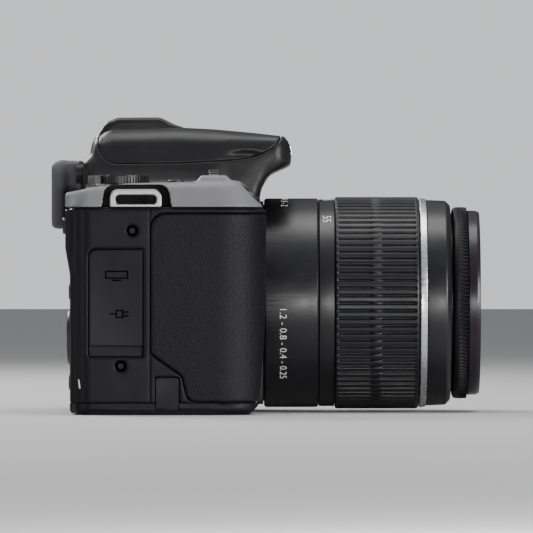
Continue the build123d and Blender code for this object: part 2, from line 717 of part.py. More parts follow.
def power_switch():
    """Ring under the mode dial with a lever that points back and to the right."""
    x, y, z = MODE_DIAL
    ring = rod((x, y, z + 0.1), (0, 0, 1), 1.1, 10.4) - rod((x, y, z), (0, 0, 1), 3, 2.75)
    lever = outline([(-9.0, -2.8), (-13.6, -1.8), (-13.6, 1.8), (-9.0, 2.8)], [0.4, 1.4, 1.4, 0.4])
    turn = Pos(x, y) * Rot(0, 0, LEVER_TURN)
    tab = along_z(turn * lever, z + 0.9, z + 1.4)
    thumb_piece = Box(2.6, 3.0, 3.1, align=(Align.CENTER, Align.CENTER, Align.MIN))
    grip = turn * Pos(-11.8, 0, z + 0.9) * thumb_piece
    return union(ring, tab, grip)


def main_dial():
    """Knurled wheel on an axle that runs forwards."""
    x, y, z = MAIN_DIAL
    plane = Plane(origin=(x - 1.7, y, z), z_dir=(1, 0, 0))
    return extrude(plane * star(7.4, 8.0, 40), amount=3.4) - rod((x - 3, y, z), (1, 0, 0), 6, 1.5)


def shutter_button():
    cap = button(backwards(SHUTTER, SLOPE_UP, 2.6), SLOPE_UP, 3.8, 4.6, 0.8)
    return cap + rod(backwards(SHUTTER, SLOPE_UP, 4.2), SLOPE_UP, 1.8, 2.0)


def top_key(y):
    return button((1.6, y, 70.2), (0, 0, 1), 3.4, 2.4)


def cross_keys():
    """Four-way rocker ring round the set key."""
    ring = rod((CROSS_FACE_X + 5.2, CROSS_Y, CROSS_Z), (-1, 0, 0), 5.2, CROSS_R)
    ring = chamfer(ring.faces().sort_by(Axis.X)[0].edges(), 0.7)
    return ring - rod((-40, CROSS_Y, CROSS_Z), (1, 0, 0), 20, SET_R + 0.25)


def set_button():
    return button((CROSS_FACE_X + 5.2, CROSS_Y, CROSS_Z), (-1, 0, 0), 5.0, SET_R)


def lens_release_button():
    z = AXIS_Z - 2
    return button((FACE_X - 4.0, 42.6, z), (1, 0, 0), 7.4, 5.1, 1.0)


def flash_button():
    return button((FACE_X - 4.0, 43.0, 58.2), (1, 0, 0), 5.2, 2.8)


def diopter_dial():
    plane = Plane(origin=(-30.6, -19.6, 76.0), z_dir=(1, 0, 0))
    return extrude(plane * star(2.9, 3.2, 28), amount=3.0)


# ---------------------------------------------------------------- viewfinder


def eyecup():
    """Rubber frame on a neck, with the eye's window through it."""
    flange = block((-38.6, -34.6), (-17.5, 17.5), (58.1, 80.3), 5.0, Axis.X)
    flange = fillet(flange.faces().sort_by(Axis.X)[0].edges(), 1.4)
    neck = block((-34.8, -28.5), (-13.6, 13.6), (65.2, 80.0), 3.0, Axis.X)
    shoulders = block((-34.8, -28.5), (-16.0, 16.0), (71.0, 80.0), 2.5, Axis.X)
    window = block((-60, 0), (-10.4, 10.4), (63.4, 76.0), 2.0, Axis.X)
    return flange + neck + shoulders - window


def eyepiece_lens():
    return block((-32.2, -30.4), (-10.3, 10.3), (63.5, 75.9), 2.0, Axis.X)


def pentamirror():
    """Roof mirror block that turns the image upright."""
    side = polygon([(-22, 64), (-22, 71), (-12, 76.4), (4, 76.4), (14, 66), (14, 60), (-4, 60)])
    body = along_y(side, -18, 18)
    return body - block((-18, -4), (-12, 12), (59, 66))


# ---------------------------------------------------------------- inner works


def mirror_box():
    """Box round the light path, open to the front, the shutter and the finder."""
    outer = block((-4.0, 23.8), (-22, 22), (17, 54))
    inner = block((-2.5, 30), (-19.6, 19.6), (19.5, 51))
    port = block((-10, 0), (-13, 13), (AXIS_Z - 8.6, AXIS_Z + 8.6))
    roof = block((1, 20), (-17, 17), (50, 60))
    feet = [block((-4.0, -1.5), y, (2.2, 17)) for y in ((-22, -12), (12, 22))]
    return outer + feet[0] + feet[1] - inner - port - roof


def reflex_mirror():
    x, z = MIRROR_HINGE
    plate = Box(22.5, 34.0, 1.0, align=(Align.MIN, Align.CENTER, Align.CENTER))
    spine = Rot(90, 0, 0) * Cylinder(0.9, 34.0)
    return Pos(x, 0, z) * (Rot(0, 45, 0) * plate + spine)


def shutter_unit():
    """Focal-plane shutter: a frame and its closed blades."""
    frame = block((-9.2, -4.3), (-31, 31), (14, 56), 2.0, Axis.X)
    frame = frame - block((-12, 0), (-12.4, 12.4), (AXIS_Z - 8.4, AXIS_Z + 8.4))
    frame = frame - block((-8.2, -6.2), (-14, 14), (AXIS_Z - 18, AXIS_Z + 18))
    blades = []
    for n in range(4):
        x, z = -7.9 + 0.25 * n, AXIS_Z - 9 + 4.5 * n
        blades.append(block((x, x + 0.3), (-13.4, 13.4), (z, z + 4.7)))
    return Compound(children=[frame.solid(), *[blade.solid() for blade in blades]])


def image_sensor():
    """Sensor chip on its board, behind a cover glass."""
    board = block((-17.4, -15.9), (-24, 24), (AXIS_Z - 16, AXIS_Z + 16))
    chip = block((-15.9, -14.3), (-13.6, 13.6), (AXIS_Z - 10, AXIS_Z + 10))
    glass = block((-14.3, -13.1), (-12.4, 12.4), (AXIS_Z - 8.6, AXIS_Z + 8.6))
    return union(board, chip, glass)


def main_board():
    """Circuit board with the two side sockets soldered on."""
    board = block((-21.6, -20.2), (-58, 36), (8, 55))
    places = (((-20, -6), (44, 54)), ((4, 16), (44, 54)), ((-50, -36), (10, 22)))
    chips = [block((-20.2, -18.8), y, z) for y, z in places]
    sockets = []
    for z in (41.6, 27.2):
        case = block((-23.4, -11.6), (-65.3, -56), (z - 2.2, z + 2.2), 1.0, Axis.Y)
        sockets.append(case - block((-22.2, -12.8), (-67, -62), (z - 1.2, z + 1.2)))
    stem = block((-21.6, -20.2), (-64, -58), (20, 48))
    return union(board, stem, *chips, *sockets)


def battery():
    return block((-10.4, 20.0), (-63.2, -49.2), (2.8, 52.0), 2.0)


# ---------------------------------------------------------------- lens


def body_mount_ring():
    """Metal ring of the body's lens mount and its throat."""
    ring = tube(FLANGE_X - 2.2, FLANGE_X, THROAT_R + 2.2, 32.6)
    throat = tube(FLANGE_X - 5.0, FLANGE_X, THROAT_R, THROAT_R + 1.2)
    lip = tube(FLANGE_X - 2.2, FLANGE_X - 0.2, THROAT_R + 1.1, THROAT_R + 2.3)
    return union(ring, throat, lip)


def lens_mount_ring():
    """Rear bayonet of the lens, with three locking claws."""
    plate = tube(FLANGE_X, FLANGE_X + 1.4, 21.0, 31.6)
    neck = tube(FLANGE_X - 4.6, FLANGE_X, 21.0, 23.0)
    claws = []
    for n in range(3):
        sector = Box(12, 28, 60, align=(Align.CENTER, Align.CENTER, Align.MIN))
        wedge = Pos(FLANGE_X, 0, AXIS_Z) * Rot(120 * n, 0, 0) * sector
        claws.append(tube(FLANGE_X - 4.6, FLANGE_X - 3.0, 22.9, 24.6) & wedge)
    return union(plate, neck, *claws)


def lens_rear_barrel():
    """Fixed barrel and the guide tube that the zoom ring turns on."""
    barrel = lathe(
        [
            (FLANGE_X + 0.2, 31.7),
            (FLANGE_X + 0.2, 32.7),
            (FLANGE_X + 1.0, 33.5),
            (45.2, 33.5),
            (46.2, 33.1),
            (46.2, 28.0),
            (44.4, 28.0),
            (44.4, 31.7),
        ]
    )
    guide = tube(44.4, 87.8, 27.7, 29.2)
    plate = tube(30.4, 32.0, 21.2, 31.8)
    pad = block((33.5, 44.5), (30.5, 33.9), (AXIS_Z - 8, AXIS_Z + 6), 1.2, Axis.Y)
    track = block((36.8, 41.2), (32.9, 40), (AXIS_Z - 5.0, AXIS_Z + 3.0))
    return union(barrel, plate, guide, pad) - track


def focus_switch():
    """Slide that chooses automatic or manual focus."""
    slide = block((37.0, 41.0), (33.0, 34.1), (AXIS_Z - 1.8, AXIS_Z + 2.6), 0.6, Axis.Y)
    return slide + block((38.2, 39.8), (34.0, 34.7), (AXIS_Z - 0.6, AXIS_Z + 1.4))


def zoom_ring():
    """Zoom ring: a plain numbered band and the seat of the rubber sleeve."""
    return lathe(
        [
            (46.6, 29.6),
            (46.6, 32.9),
            (47.0, 33.2),
            (51.7, 33.2),
            (51.7, 32.0),
            (78.4, 32.0),
            (78.4, 29.6),
        ]
    )


def zoom_grip():
    """Rubber sleeve: two bands of ribs with a shallow band between them."""
    base = tube(51.8, 78.6, 32.1, 33.2)
    bands = [
        ribbed(52.8, 63.1, 33.0, 34.0, ZOOM_RIBS),
        ribbed(63.1, 66.6, 33.0, 33.8, ZOOM_RIBS),
        ribbed(66.6, 77.6, 33.0, 34.0, ZOOM_RIBS),
    ]
    rims = [tube(51.8, 52.8, 32.1, 33.7), tube(77.6, 78.6, 32.1, 33.8)]
    return union(*bands, *rims, base) - lens_disc(40, 90, 32.1)


def accent_ring():
    return lathe([(78.9, 29.5), (78.9, 33.2), (79.4, 33.6), (81.1, 33.2), (81.1, 29.5)])


def lens_front_sleeve():
    """Front end of the fixed barrel, turned in to the sliding tube."""
    return lathe(
        [
            (81.1, 29.4),
            (81.1, 32.9),
            (87.2, 32.7),
            (88.4, 31.6),
            (88.8, 27.7),
            (87.9, 27.7),
            (87.9, 29.4),
        ]
    )


def zoom_barrel():
    """Tube that slides out of the lens as it is zoomed."""
    return tube(40.0, 90.0, 26.0, 27.3)


def focus_helicoid():
    """Screw tube that carries the front group forward as it is focused."""
    return tube(62.0, 90.0, 24.2, 25.6)


def focus_ring():
    """Finely ribbed ring on a hub that turns inside the helicoid."""
    hub = tube(70.0, 91.4, 22.2, 23.8)
    web = tube(90.6, 92.4, 22.2, 29.0)
    skirt = lathe([(89.2, 27.8), (89.2, 30.0), (89.9, 30.6), (91.3, 30.6), (91.3, 27.8)])
    ribs = ribbed(91.3, 94.2, 30.2, 30.6, FOCUS_RIBS) - lens_disc(80, 110, 27.8)
    return union(hub, web, skirt, ribs)


def front_bezel():
    """Front ring with the filter thread, its bore at the thread's minor radius."""
    return lathe(
        [
            (92.4, 21.4),
            (92.4, 27.7),
            (94.2, 27.7),
            (94.2, 29.6),
            (97.2, 29.5),
            (98.1, 29.2),
            (98.1, 28.6),
            (94.5, 28.6),
            (94.5, 27.4),
            (93.2, 21.4),
        ]
    )


def front_element():
    """Front lens, domed towards the subject."""
    ball = Pos(47.8, 0, AXIS_Z) * Rot(0, 0, 180) * Sphere(46.4)
    return lens_disc(88.0, 96.0, 21.3) & ball


def rear_lens_group():
    """Cell of the rear lens elements with its rearmost glass."""
    cell = tube(25.0, 46.0, 9.0, 11.0) + tube(36.0, 38.0, 9.0, 23.0)
    glass = lens_disc(25.6, 30.0, 9.0)
    return cell + glass


# ---------------------------------------------------------------- assembly

PARTS = {
    "front_cover": front_cover,
    "rear_cover": rear_cover,
    "top_cover": top_cover,
    "prism_cover": prism_cover,
    "bottom_cover": bottom_cover,
    "grip_rubber": grip_rubber,
    "cover_screws": cover_screws,
    "strap_lugs": strap_lugs,
    "tripod_socket": tripod_socket,
    "hot_shoe": hot_shoe,
    "flash_head": flash_head,
    "flash_window": flash_window,
    "mode_dial": mode_dial,
    "power_switch": power_switch,
    "main_dial": main_dial,
    "shutter_button": shutter_button,
    "iso_button": lambda: top_key(-47.0),
    "display_button": lambda: top_key(-58.0),
    "screen_bracket": screen_bracket,
    "screen_housing": screen_housing,
    "screen_glass": screen_glass,
    "cross_keys": cross_keys,
    "set_button": set_button,
    "lens_release_button": lens_release_button,
    "flash_button": flash_button,
    "diopter_dial": diopter_dial,
    "eyecup": eyecup,
    "eyepiece_lens": eyepiece_lens,
    "pentamirror": pentamirror,
    "mirror_box": mirror_box,
    "reflex_mirror": reflex_mirror,
    "shutter_unit": shutter_unit,
    "image_sensor": image_sensor,
    "main_board": main_board,
    "battery": battery,
    "battery_door": battery_door,
    "terminal_door": terminal_door,
    "coupler_flap": coupler_flap,
    "remote_door": remote_door,
    "body_mount_ring": body_mount_ring,
    "lens_mount_ring": lens_mount_ring,
    "lens_rear_barrel": lens_rear_barrel,
    "rear_lens_group": rear_lens_group,
    "focus_switch": focus_switch,
    "zoom_ring": zoom_ring,
    "zoom_grip": zoom_grip,
    "accent_ring": accent_ring,
    "lens_front_sleeve": lens_front_sleeve,
    "zoom_barrel": zoom_barrel,
    "focus_helicoid": focus_helicoid,
    "focus_ring": focus_ring,
    "front_bezel": front_bezel,
    "front_element": front_element,
}
for key in REAR_KEYS:
    PARTS[key] = lambda key=key: rear_key(key)

os.makedirs("parts", exist_ok=True)
for name, make in PARTS.items():
    export_step(make(), f"parts/{name}.step")
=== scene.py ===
import json
from math import cos, pi, radians, sin

import bpy
import numpy as np
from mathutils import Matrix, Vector


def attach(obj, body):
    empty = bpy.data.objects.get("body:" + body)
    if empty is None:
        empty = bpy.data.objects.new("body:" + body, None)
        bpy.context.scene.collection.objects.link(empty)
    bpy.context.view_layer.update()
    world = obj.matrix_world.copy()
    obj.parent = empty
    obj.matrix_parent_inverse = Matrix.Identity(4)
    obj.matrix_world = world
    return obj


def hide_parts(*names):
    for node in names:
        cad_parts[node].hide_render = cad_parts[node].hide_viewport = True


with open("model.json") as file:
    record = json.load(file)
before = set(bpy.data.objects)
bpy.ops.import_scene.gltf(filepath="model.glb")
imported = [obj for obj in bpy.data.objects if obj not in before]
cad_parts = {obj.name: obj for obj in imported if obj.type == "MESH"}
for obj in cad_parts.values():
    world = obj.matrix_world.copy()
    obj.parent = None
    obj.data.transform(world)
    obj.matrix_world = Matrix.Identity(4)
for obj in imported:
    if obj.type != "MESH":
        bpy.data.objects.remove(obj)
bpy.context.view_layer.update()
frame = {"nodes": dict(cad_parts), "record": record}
NODES = frame["nodes"]

# Lengths below are millimetres in the CAD's frame; meshes are written in metres.
MM = 0.001
AXIS_Z = 34.8
FINE = 0.45
FINEST = 0.35
SEAM = 0.35

# ---------------------------------------------------------------- fields


def smax(a, b, k):
    """Larger of two fields, with the crease between them rounded over about k."""
    h = np.maximum(k - np.abs(a - b), 0.0) / k
    return np.maximum(a, b) + h * h * (k / 4)


def smin(a, b, k):
    return -smax(-a, -b, k)


def slab(v, low, high):
    return np.maximum(low - v, v - high)


def arcs(points, radii, step=7.0):
    """A closed polygon with its corners replaced by arcs."""
    out = []
    count = len(points)
    for i, radius in enumerate(radii):
        here = np.array(points[i], float)
        before = np.array(points[i - 1], float) - here
        after = np.array(points[(i + 1) % count], float) - here
        before /= np.linalg.norm(before)
        after /= np.linalg.norm(after)
        angle = np.arccos(np.clip(before @ after, -1, 1))
        if radius <= 0 or angle > pi - 0.02:
            out.append(here)
            continue
        cut = radius / np.tan(angle / 2)
        bisector = (before + after) / np.linalg.norm(before + after)
        centre = here + bisector * radius / np.sin(angle / 2)
        start = here + before * cut - centre
        end = here + after * cut - centre
        a0 = np.arctan2(start[1], start[0])
        turn = (np.arctan2(end[1], end[0]) - a0 + pi) % (2 * pi) - pi
        for t in np.linspace(0, 1, max(2, int(abs(turn) / radians(step)) + 2)):
            a = a0 + turn * t
            out.append(centre + radius * np.array([cos(a), sin(a)]))
    return np.array(out)


def flat(polygon, u, v):
    """Signed distance to a closed polygon in two of the coordinates."""
    shape = np.broadcast_shapes(np.shape(u), np.shape(v))
    best = np.full(shape, 1e9, np.result_type(u, v))
    inside = np.zeros(shape, bool)
    for (ax, ay), (bx, by) in zip(polygon, np.roll(polygon, -1, axis=0)):
        ex, ey = bx - ax, by - ay
        wu, wv = u - ax, v - ay
        t = np.clip((wu * ex + wv * ey) / (ex * ex + ey * ey + 1e-12), 0, 1)
        best = np.minimum(best, (wu - t * ex) ** 2 + (wv - t * ey) ** 2)
        if ay != by:
            cross = ((ay > v) != (by > v)) & (u < (bx - ax) * (v - ay) / (by - ay) + ax)
            inside ^= cross
    return np.where(inside, -1.0, 1.0) * np.sqrt(best)


def brick(x, y, z, xs, ys, zs, radius=0.0):
    """Box between the ends given, with rounded edges."""
    q = [
        np.abs(v - (e[0] + e[1]) / 2) - (e[1] - e[0]) / 2 + radius
        for v, e in ((x, xs), (y, ys), (z, zs))
    ]
    outside = np.sqrt(sum(np.maximum(d, 0) ** 2 for d in q))
    return outside + np.minimum(np.maximum(np.maximum(q[0], q[1]), q[2]), 0) - radius


def ring_at(u, v, centre, radius):
    return np.hypot(u - centre[0], v - centre[1]) - radius


def surface(field, low, high, step):
    """Closed quad mesh of a field's zero level, with its points moved onto that level."""
    axes = [np.arange(a - 2 * step, b + 2.5 * step, step) for a, b in zip(low, high)]
    grid = [a.astype(np.float32) for a in axes]
    value = field(grid[0][:, None, None], grid[1][None, :, None], grid[2][None, None, :])
    shape = tuple(len(a) for a in axes)
    value = np.ascontiguousarray(np.broadcast_to(value, shape), np.float32)
    inside = value < 0
    line = value.ravel()
    stride = np.array([shape[1] * shape[2], shape[2], 1])
    ids, points, quads = [], [], []
    for a in range(3):
        b, c = (a + 1) % 3, (a + 2) % 3
        one, two = [slice(None)] * 3, [slice(None)] * 3
        one[a], two[a] = slice(0, -1), slice(1, None)
        where = np.stack(np.nonzero(inside[tuple(one)] != inside[tuple(two)]), 1)
        base = where @ stride
        f0, f1 = line[base], line[base + stride[a]]
        point = where.astype(float)
        point[:, a] += f0 / (f0 - f1)
        cells = np.stack(
            [base, base - stride[b], base - stride[b] - stride[c], base - stride[c]], 1
        )
        ids.append(cells.ravel())
        points.append(np.repeat(point, 4, axis=0))
        cells[f0 >= 0] = cells[f0 >= 0][:, ::-1]
        quads.append(cells)
    ids, points, quads = np.concatenate(ids), np.concatenate(points), np.concatenate(quads)
    used, inverse = np.unique(ids, return_inverse=True)
    counts = np.bincount(inverse)
    place = np.stack([np.bincount(inverse, points[:, k]) / counts for k in range(3)], 1)
    place = place * step + np.array([a[0] for a in axes])
    faces = np.searchsorted(used, quads)
    for _ in range(3):
        value, slope = gradient(field, place)
        size = np.maximum((slope**2).sum(1), 0.25)
        move = -slope * (value / size)[:, None]
        far = np.maximum(np.linalg.norm(move, axis=1) / (0.45 * step), 1.0)
        place = place + move / far[:, None]
    return place, faces


def gradient(field, place, e=0.03):
    x, y, z = place.T
    value = field(x, y, z)
    slope = [
        (field(x + e, y, z) - field(x - e, y, z)) / (2 * e),
        (field(x, y + e, z) - field(x, y - e, z)) / (2 * e),
        (field(x, y, z + e) - field(x, y, z - e)) / (2 * e),
    ]
    return value, np.stack(slope, 1)


# ---------------------------------------------------------------- pieces


def piece(name, place, faces, body, slot, material, *nodes, smooth=True):
    mesh = bpy.data.meshes.new(name)
    mesh.from_pydata((np.asarray(place) * MM).tolist(), [], np.asarray(faces).tolist())
    mesh.validate()
    if smooth:
        mesh.shade_smooth()
    thing = bpy.data.objects.new(name, mesh)
    bpy.context.scene.collection.objects.link(thing)
    mesh.materials.append(material)
    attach(thing, body)
    if nodes:
        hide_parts(*nodes)
    return thing


def tint(thing, material, where):
    """Second material on the faces whose centres, in millimetres, pass a test."""
    mesh = thing.data
    mesh.materials.append(material)
    centres = np.empty(len(mesh.polygons) * 3)
    mesh.polygons.foreach_get("center", centres)
    x, y, z = centres.reshape(-1, 3).T / MM
    index = np.empty(len(mesh.polygons), np.int32)
    mesh.polygons.foreach_get("material_index", index)
    index[where(x, y, z)] = len(mesh.materials) - 1
    mesh.polygons.foreach_set("material_index", index)


def moulded(name, field, low, high, step, body, slot, material, *nodes):
    place, faces = surface(field, low, high, step)
    return piece(name, place, faces, body, slot, material, *nodes)


def grid_faces(rows, columns, wrap=True):
    """Quads of a grid of rows by columns, closed across the columns and round the rows."""
    i = np.arange(rows if wrap else rows - 1)[:, None]
    j = np.arange(columns)[None, :]
    nxt, jn = (i + 1) % rows, (j + 1) % columns
    quads = np.stack(
        [i * columns + j, i * columns + jn, nxt * columns + jn, nxt * columns + j], -1
    )
    return quads.reshape(-1, 4)


def lathe(profile, segments=192, grooves=None):
    """Closed profile of distance along and from the lens axis, turned about it."""
    profile = np.asarray(profile, float)
    angle = np.linspace(0, 2 * pi, segments, endpoint=False)
    x = np.repeat(profile[None, :, 0], segments, 0)
    r = np.repeat(profile[None, :, 1], segments, 0)
    if grooves is not None:
        r = r + grooves(angle[:, None])
    y = r * np.sin(angle)[:, None]
    z = r * np.cos(angle)[:, None] + AXIS_Z
    place = np.stack([x, y, z], -1).reshape(-1, 3)
    return place, grid_faces(segments, len(profile))


def ring_piece(name, points, radii, body, slot, material, *nodes):
    """A turned ring whose profile corners are rounded."""
    profile = arcs(points, radii, 20)
    area = sum(
        a[0] * b[1] - b[0] * a[1] for a, b in zip(profile, np.roll(profile, -1, axis=0))
    )
    if area > 0:
        profile = profile[::-1]
    place, faces = lathe(profile)
    return piece(name, place, faces, body, slot, material, *nodes)


# ---------------------------------------------------------------- materials


def nodes_of(name):
    material = bpy.data.materials.new(name)
    material.use_nodes = True
    tree = material.node_tree
    shader = tree.nodes["Principled BSDF"]
    return material, tree, shader


def link(tree, a, b):
    tree.links.new(a, b)


def texture(tree, kind, size_mm, **settings):
    """A texture node in object coordinates with features of a given size."""
    place = tree.nodes.new("ShaderNodeTexCoord")
    node = tree.nodes.new(kind)
    link(tree, place.outputs["Object"], node.inputs["Vector"])
    node.inputs["Scale"].default_value = 1000.0 / size_mm
    for key, value in settings.items():
        if key in node.inputs:
            node.inputs[key].default_value = value
        else:
            setattr(node, key, value)
    return node


def ramp(tree, source, low, high, out_low, out_high):
    node = tree.nodes.new("ShaderNodeMapRange")
    node.inputs["From Min"].default_value = low
    node.inputs["From Max"].default_value = high
    node.inputs["To Min"].default_value = out_low
    node.inputs["To Max"].default_value = out_high
    link(tree, source, node.inputs["Value"])
    return node.outputs["Result"]


def mixed(tree, factor, a, b):
    node = tree.nodes.new("ShaderNodeMix")
    node.data_type = "RGBA"
    link(tree, factor, node.inputs["Factor"])
    node.inputs["A"].default_value = (*a, 1)
    node.inputs["B"].default_value = (*b, 1)
    return node.outputs["Result"]


def bump(tree, height, depth_mm, previous=None):
    node = tree.nodes.new("ShaderNodeBump")
    node.inputs["Distance"].default_value = depth_mm * MM
    node.inputs["Strength"].default_value = 1.0
    link(tree, height, node.inputs["Height"])
    if previous is not None:
        link(tree, previous, node.inputs["Normal"])
    return node.outputs["Normal"]


def moulding(name, dark, light, rough, grain_mm=0.35, depth=0.012, specular=0.5, metal=0.0, coat=0.0):
    """Moulded plastic: cloudy colour, fine grain, uneven gloss and paler worn edges."""
    material, tree, shader = nodes_of(name)
    cloud = texture(tree, "ShaderNodeTexNoise", 14.0, Detail=3.0)
    fine = texture(tree, "ShaderNodeTexNoise", grain_mm, Detail=2.0)
    colour = mixed(tree, ramp(tree, cloud.outputs["Fac"], 0.3, 0.7, 0, 1), dark, light)
    geometry = tree.nodes.new("ShaderNodeNewGeometry")
    edge = ramp(tree, geometry.outputs["Pointiness"], 0.53, 0.62, 0.0, 0.35)
    wear = tree.nodes.new("ShaderNodeMix")
    wear.data_type = "RGBA"
    link(tree, edge, wear.inputs["Factor"])
    link(tree, colour, wear.inputs["A"])
    wear.inputs["B"].default_value = (*[min(1, c * 2.2 + 0.02) for c in light], 1)
    link(tree, wear.outputs["Result"], shader.inputs["Base Color"])
    uneven = texture(tree, "ShaderNodeTexNoise", 5.0, Detail=4.0)
    link(tree, ramp(tree, uneven.outputs["Fac"], 0.25, 0.75, rough - 0.05, rough + 0.06),
         shader.inputs["Roughness"])
    link(tree, bump(tree, fine.outputs["Fac"], depth), shader.inputs["Normal"])
    shader.inputs["Metallic"].default_value = metal
    shader.inputs["Specular IOR Level"].default_value = specular
    if coat:
        shader.inputs["Coat Weight"].default_value = coat
        shader.inputs["Coat Roughness"].default_value = 0.12
    return material


def leatherette():
    """Pebbled skin: rounded cells of two sizes, with painted shade between the pebbles."""
    material, tree, shader = nodes_of("leatherette")
    warp = texture(tree, "ShaderNodeTexNoise", 1.2, Detail=2.0)
    shift = tree.nodes.new("ShaderNodeVectorMath")
    shift.operation = "MULTIPLY_ADD"
    link(tree, warp.outputs["Color"], shift.inputs[0])
    shift.inputs[1].default_value = (0.0004, 0.0004, 0.0004)
    place = tree.nodes.new("ShaderNodeTexCoord")
    link(tree, place.outputs["Object"], shift.inputs[2])
    cells = tree.nodes.new("ShaderNodeTexVoronoi")
    cells.feature = "SMOOTH_F1"
    cells.inputs["Scale"].default_value = 1000.0 / 0.52
    cells.inputs["Smoothness"].default_value = 0.5
    link(tree, shift.outputs["Vector"], cells.inputs["Vector"])
    fine = texture(tree, "ShaderNodeTexNoise", 0.2, Detail=2.0)
    height = ramp(tree, cells.outputs["Distance"], 0.05, 0.75, 1.0, 0.0)
    first = bump(tree, height, 0.09)
    second = bump(tree, fine.outputs["Fac"], 0.015, first)
    link(tree, second, shader.inputs["Normal"])
    # painted shade: the colour darkens from the pebble tops down into the crevices between them
    link(tree, mixed(tree, height, (0.002, 0.002, 0.003), (0.007, 0.007, 0.009)),
         shader.inputs["Base Color"])
    link(tree, ramp(tree, height, 0, 1, 0.60, 0.42), shader.inputs["Roughness"])
    shader.inputs["Specular IOR Level"].default_value = 0.22
    return material


def metal(name, colour, rough, brushed=True):
    material, tree, shader = nodes_of(name)
    scratches = texture(tree, "ShaderNodeTexNoise", 0.5, Detail=3.0)
    if brushed:
        stretch = tree.nodes.new("ShaderNodeMapping")
        place = tree.nodes.new("ShaderNodeTexCoord")
        stretch.inputs["Scale"].default_value = (0.15, 1.0, 1.0)
        link(tree, place.outputs["Object"], stretch.inputs["Vector"])
        link(tree, stretch.outputs["Vector"], scratches.inputs["Vector"])
    link(tree, ramp(tree, scratches.outputs["Fac"], 0.3, 0.7, rough - 0.06, rough + 0.08),
         shader.inputs["Roughness"])
    cloud = texture(tree, "ShaderNodeTexNoise", 6.0, Detail=2.0)
    link(tree, mixed(tree, cloud.outputs["Fac"], [c * 0.88 for c in colour], colour),
         shader.inputs["Base Color"])
    link(tree, bump(tree, scratches.outputs["Fac"], 0.006), shader.inputs["Normal"])
    shader.inputs["Metallic"].default_value = 1.0
    return material


def glass(name, colour, rough=0.03, tint=(0.5, 0.35, 0.9)):
    """Coated lens glass: dark, clear and glossy, with a painted coloured reflection of the coating towards
    its rim.
    """
    material, tree, shader = nodes_of(name)
    facing = tree.nodes.new("ShaderNodeLayerWeight")
    facing.inputs["Blend"].default_value = 0.35
    # painted reflection: the colour turns to the coating's tint where the glass is seen edge-on
    link(tree, mixed(tree, facing.outputs["Facing"], colour, tint), shader.inputs["Base Color"])
    dust = texture(tree, "ShaderNodeTexNoise", 9.0, Detail=3.0)
    link(tree, ramp(tree, dust.outputs["Fac"], 0.3, 0.7, rough, rough + 0.02),
         shader.inputs["Roughness"])
    shader.inputs["Transmission Weight"].default_value = 0.85
    shader.inputs["IOR"].default_value = 1.5
    shader.inputs["Specular IOR Level"].default_value = 0.35
    return material


def paint(name, colour, rough=0.55, specular=0.5):
    """Marks of one colour, very slightly uneven: prints, and marks of painted shade and of a painted
    glint.
    """
    material, tree, shader = nodes_of(name)
    mottle = texture(tree, "ShaderNodeTexNoise", 0.6, Detail=2.0)
    link(tree, mixed(tree, mottle.outputs["Fac"], [c * 0.85 for c in colour], colour),
         shader.inputs["Base Color"])
    shader.inputs["Roughness"].default_value = rough
    shader.inputs["Specular IOR Level"].default_value = specular
    return material


BODY = moulding("body_plastic", (0.0040, 0.0040, 0.0053), (0.0060, 0.0060, 0.0078), 0.44, specular=0.16)
TOP = moulding("top_plastic", (0.150, 0.150, 0.158), (0.172, 0.172, 0.181), 0.46, specular=0.45)
HUMP = moulding("hump_plastic", (0.009, 0.009, 0.010), (0.012, 0.012, 0.013), 0.38, 0.5, 0.004, 0.30)
RUBBER = moulding("soft_rubber", (0.005, 0.005, 0.0065), (0.007, 0.007, 0.009), 0.50, 0.3, 0.02, 0.18)
CUP = moulding("eyecup_rubber", (0.085, 0.085, 0.092), (0.100, 0.100, 0.107), 0.58, 0.3, 0.02, 0.35)
LENS = moulding("lens_plastic", (0.004, 0.004, 0.005), (0.007, 0.007, 0.009), 0.34, 0.25, 0.01, 0.50)
FOCUS = moulding("focus_grip", (0.003, 0.003, 0.004), (0.005, 0.005, 0.006), 0.42, 0.25, 0.01, 0.20)
RIBS = moulding("lens_rubber", (0.005, 0.005, 0.006), (0.008, 0.008, 0.010), 0.38, 0.25, 0.012, 0.40)
BEZEL = moulding("bezel_plastic", (0.008, 0.005, 0.009), (0.013, 0.008, 0.014), 0.30, 0.4, 0.006, 0.38)
BUTTON = moulding("button_plastic", (0.012, 0.012, 0.014), (0.016, 0.016, 0.018), 0.36, 0.3, 0.008)
DIAL = moulding("dial_plastic", (0.008, 0.008, 0.009), (0.012, 0.012, 0.013), 0.38, 0.3, 0.01)
GREY = moulding("grey_plate", (0.10, 0.10, 0.105), (0.13, 0.13, 0.135), 0.32, 0.3, 0.006, metal=0.6)
INNER = moulding("inner_plastic", (0.004, 0.004, 0.004), (0.006, 0.006, 0.006), 0.75, 0.3, 0.02, 0.20)
GLOSS = moulding("screen_gloss", (0.004, 0.004, 0.005), (0.006, 0.006, 0.007), 0.08, 3.0, 0.001, coat=1.0)
LEATHER = leatherette()
SILVER = metal("silver_ring", (0.78, 0.78, 0.80), 0.28)
STEEL = metal("bright_metal", (0.34, 0.34, 0.35), 0.36)
SCREW = metal("screw_steel", (0.020, 0.020, 0.022), 0.42, False)
MIRROR = metal("mirror_face", (0.85, 0.87, 0.90), 0.08, False)
GLASS = glass("clear_glass", (0.16, 0.15, 0.18), 0.03, (0.16, 0.11, 0.24))
DIFFUSER = glass("flash_lens", (0.85, 0.88, 0.92), 0.18, (0.9, 0.95, 1.0))
SENSOR = moulding("sensor", (0.04, 0.07, 0.08), (0.08, 0.05, 0.10), 0.10, 2.0, 0.002, coat=1.0)
BOARD = moulding("circuit_board", (0.010, 0.060, 0.030), (0.016, 0.085, 0.042), 0.40, 0.8, 0.02)
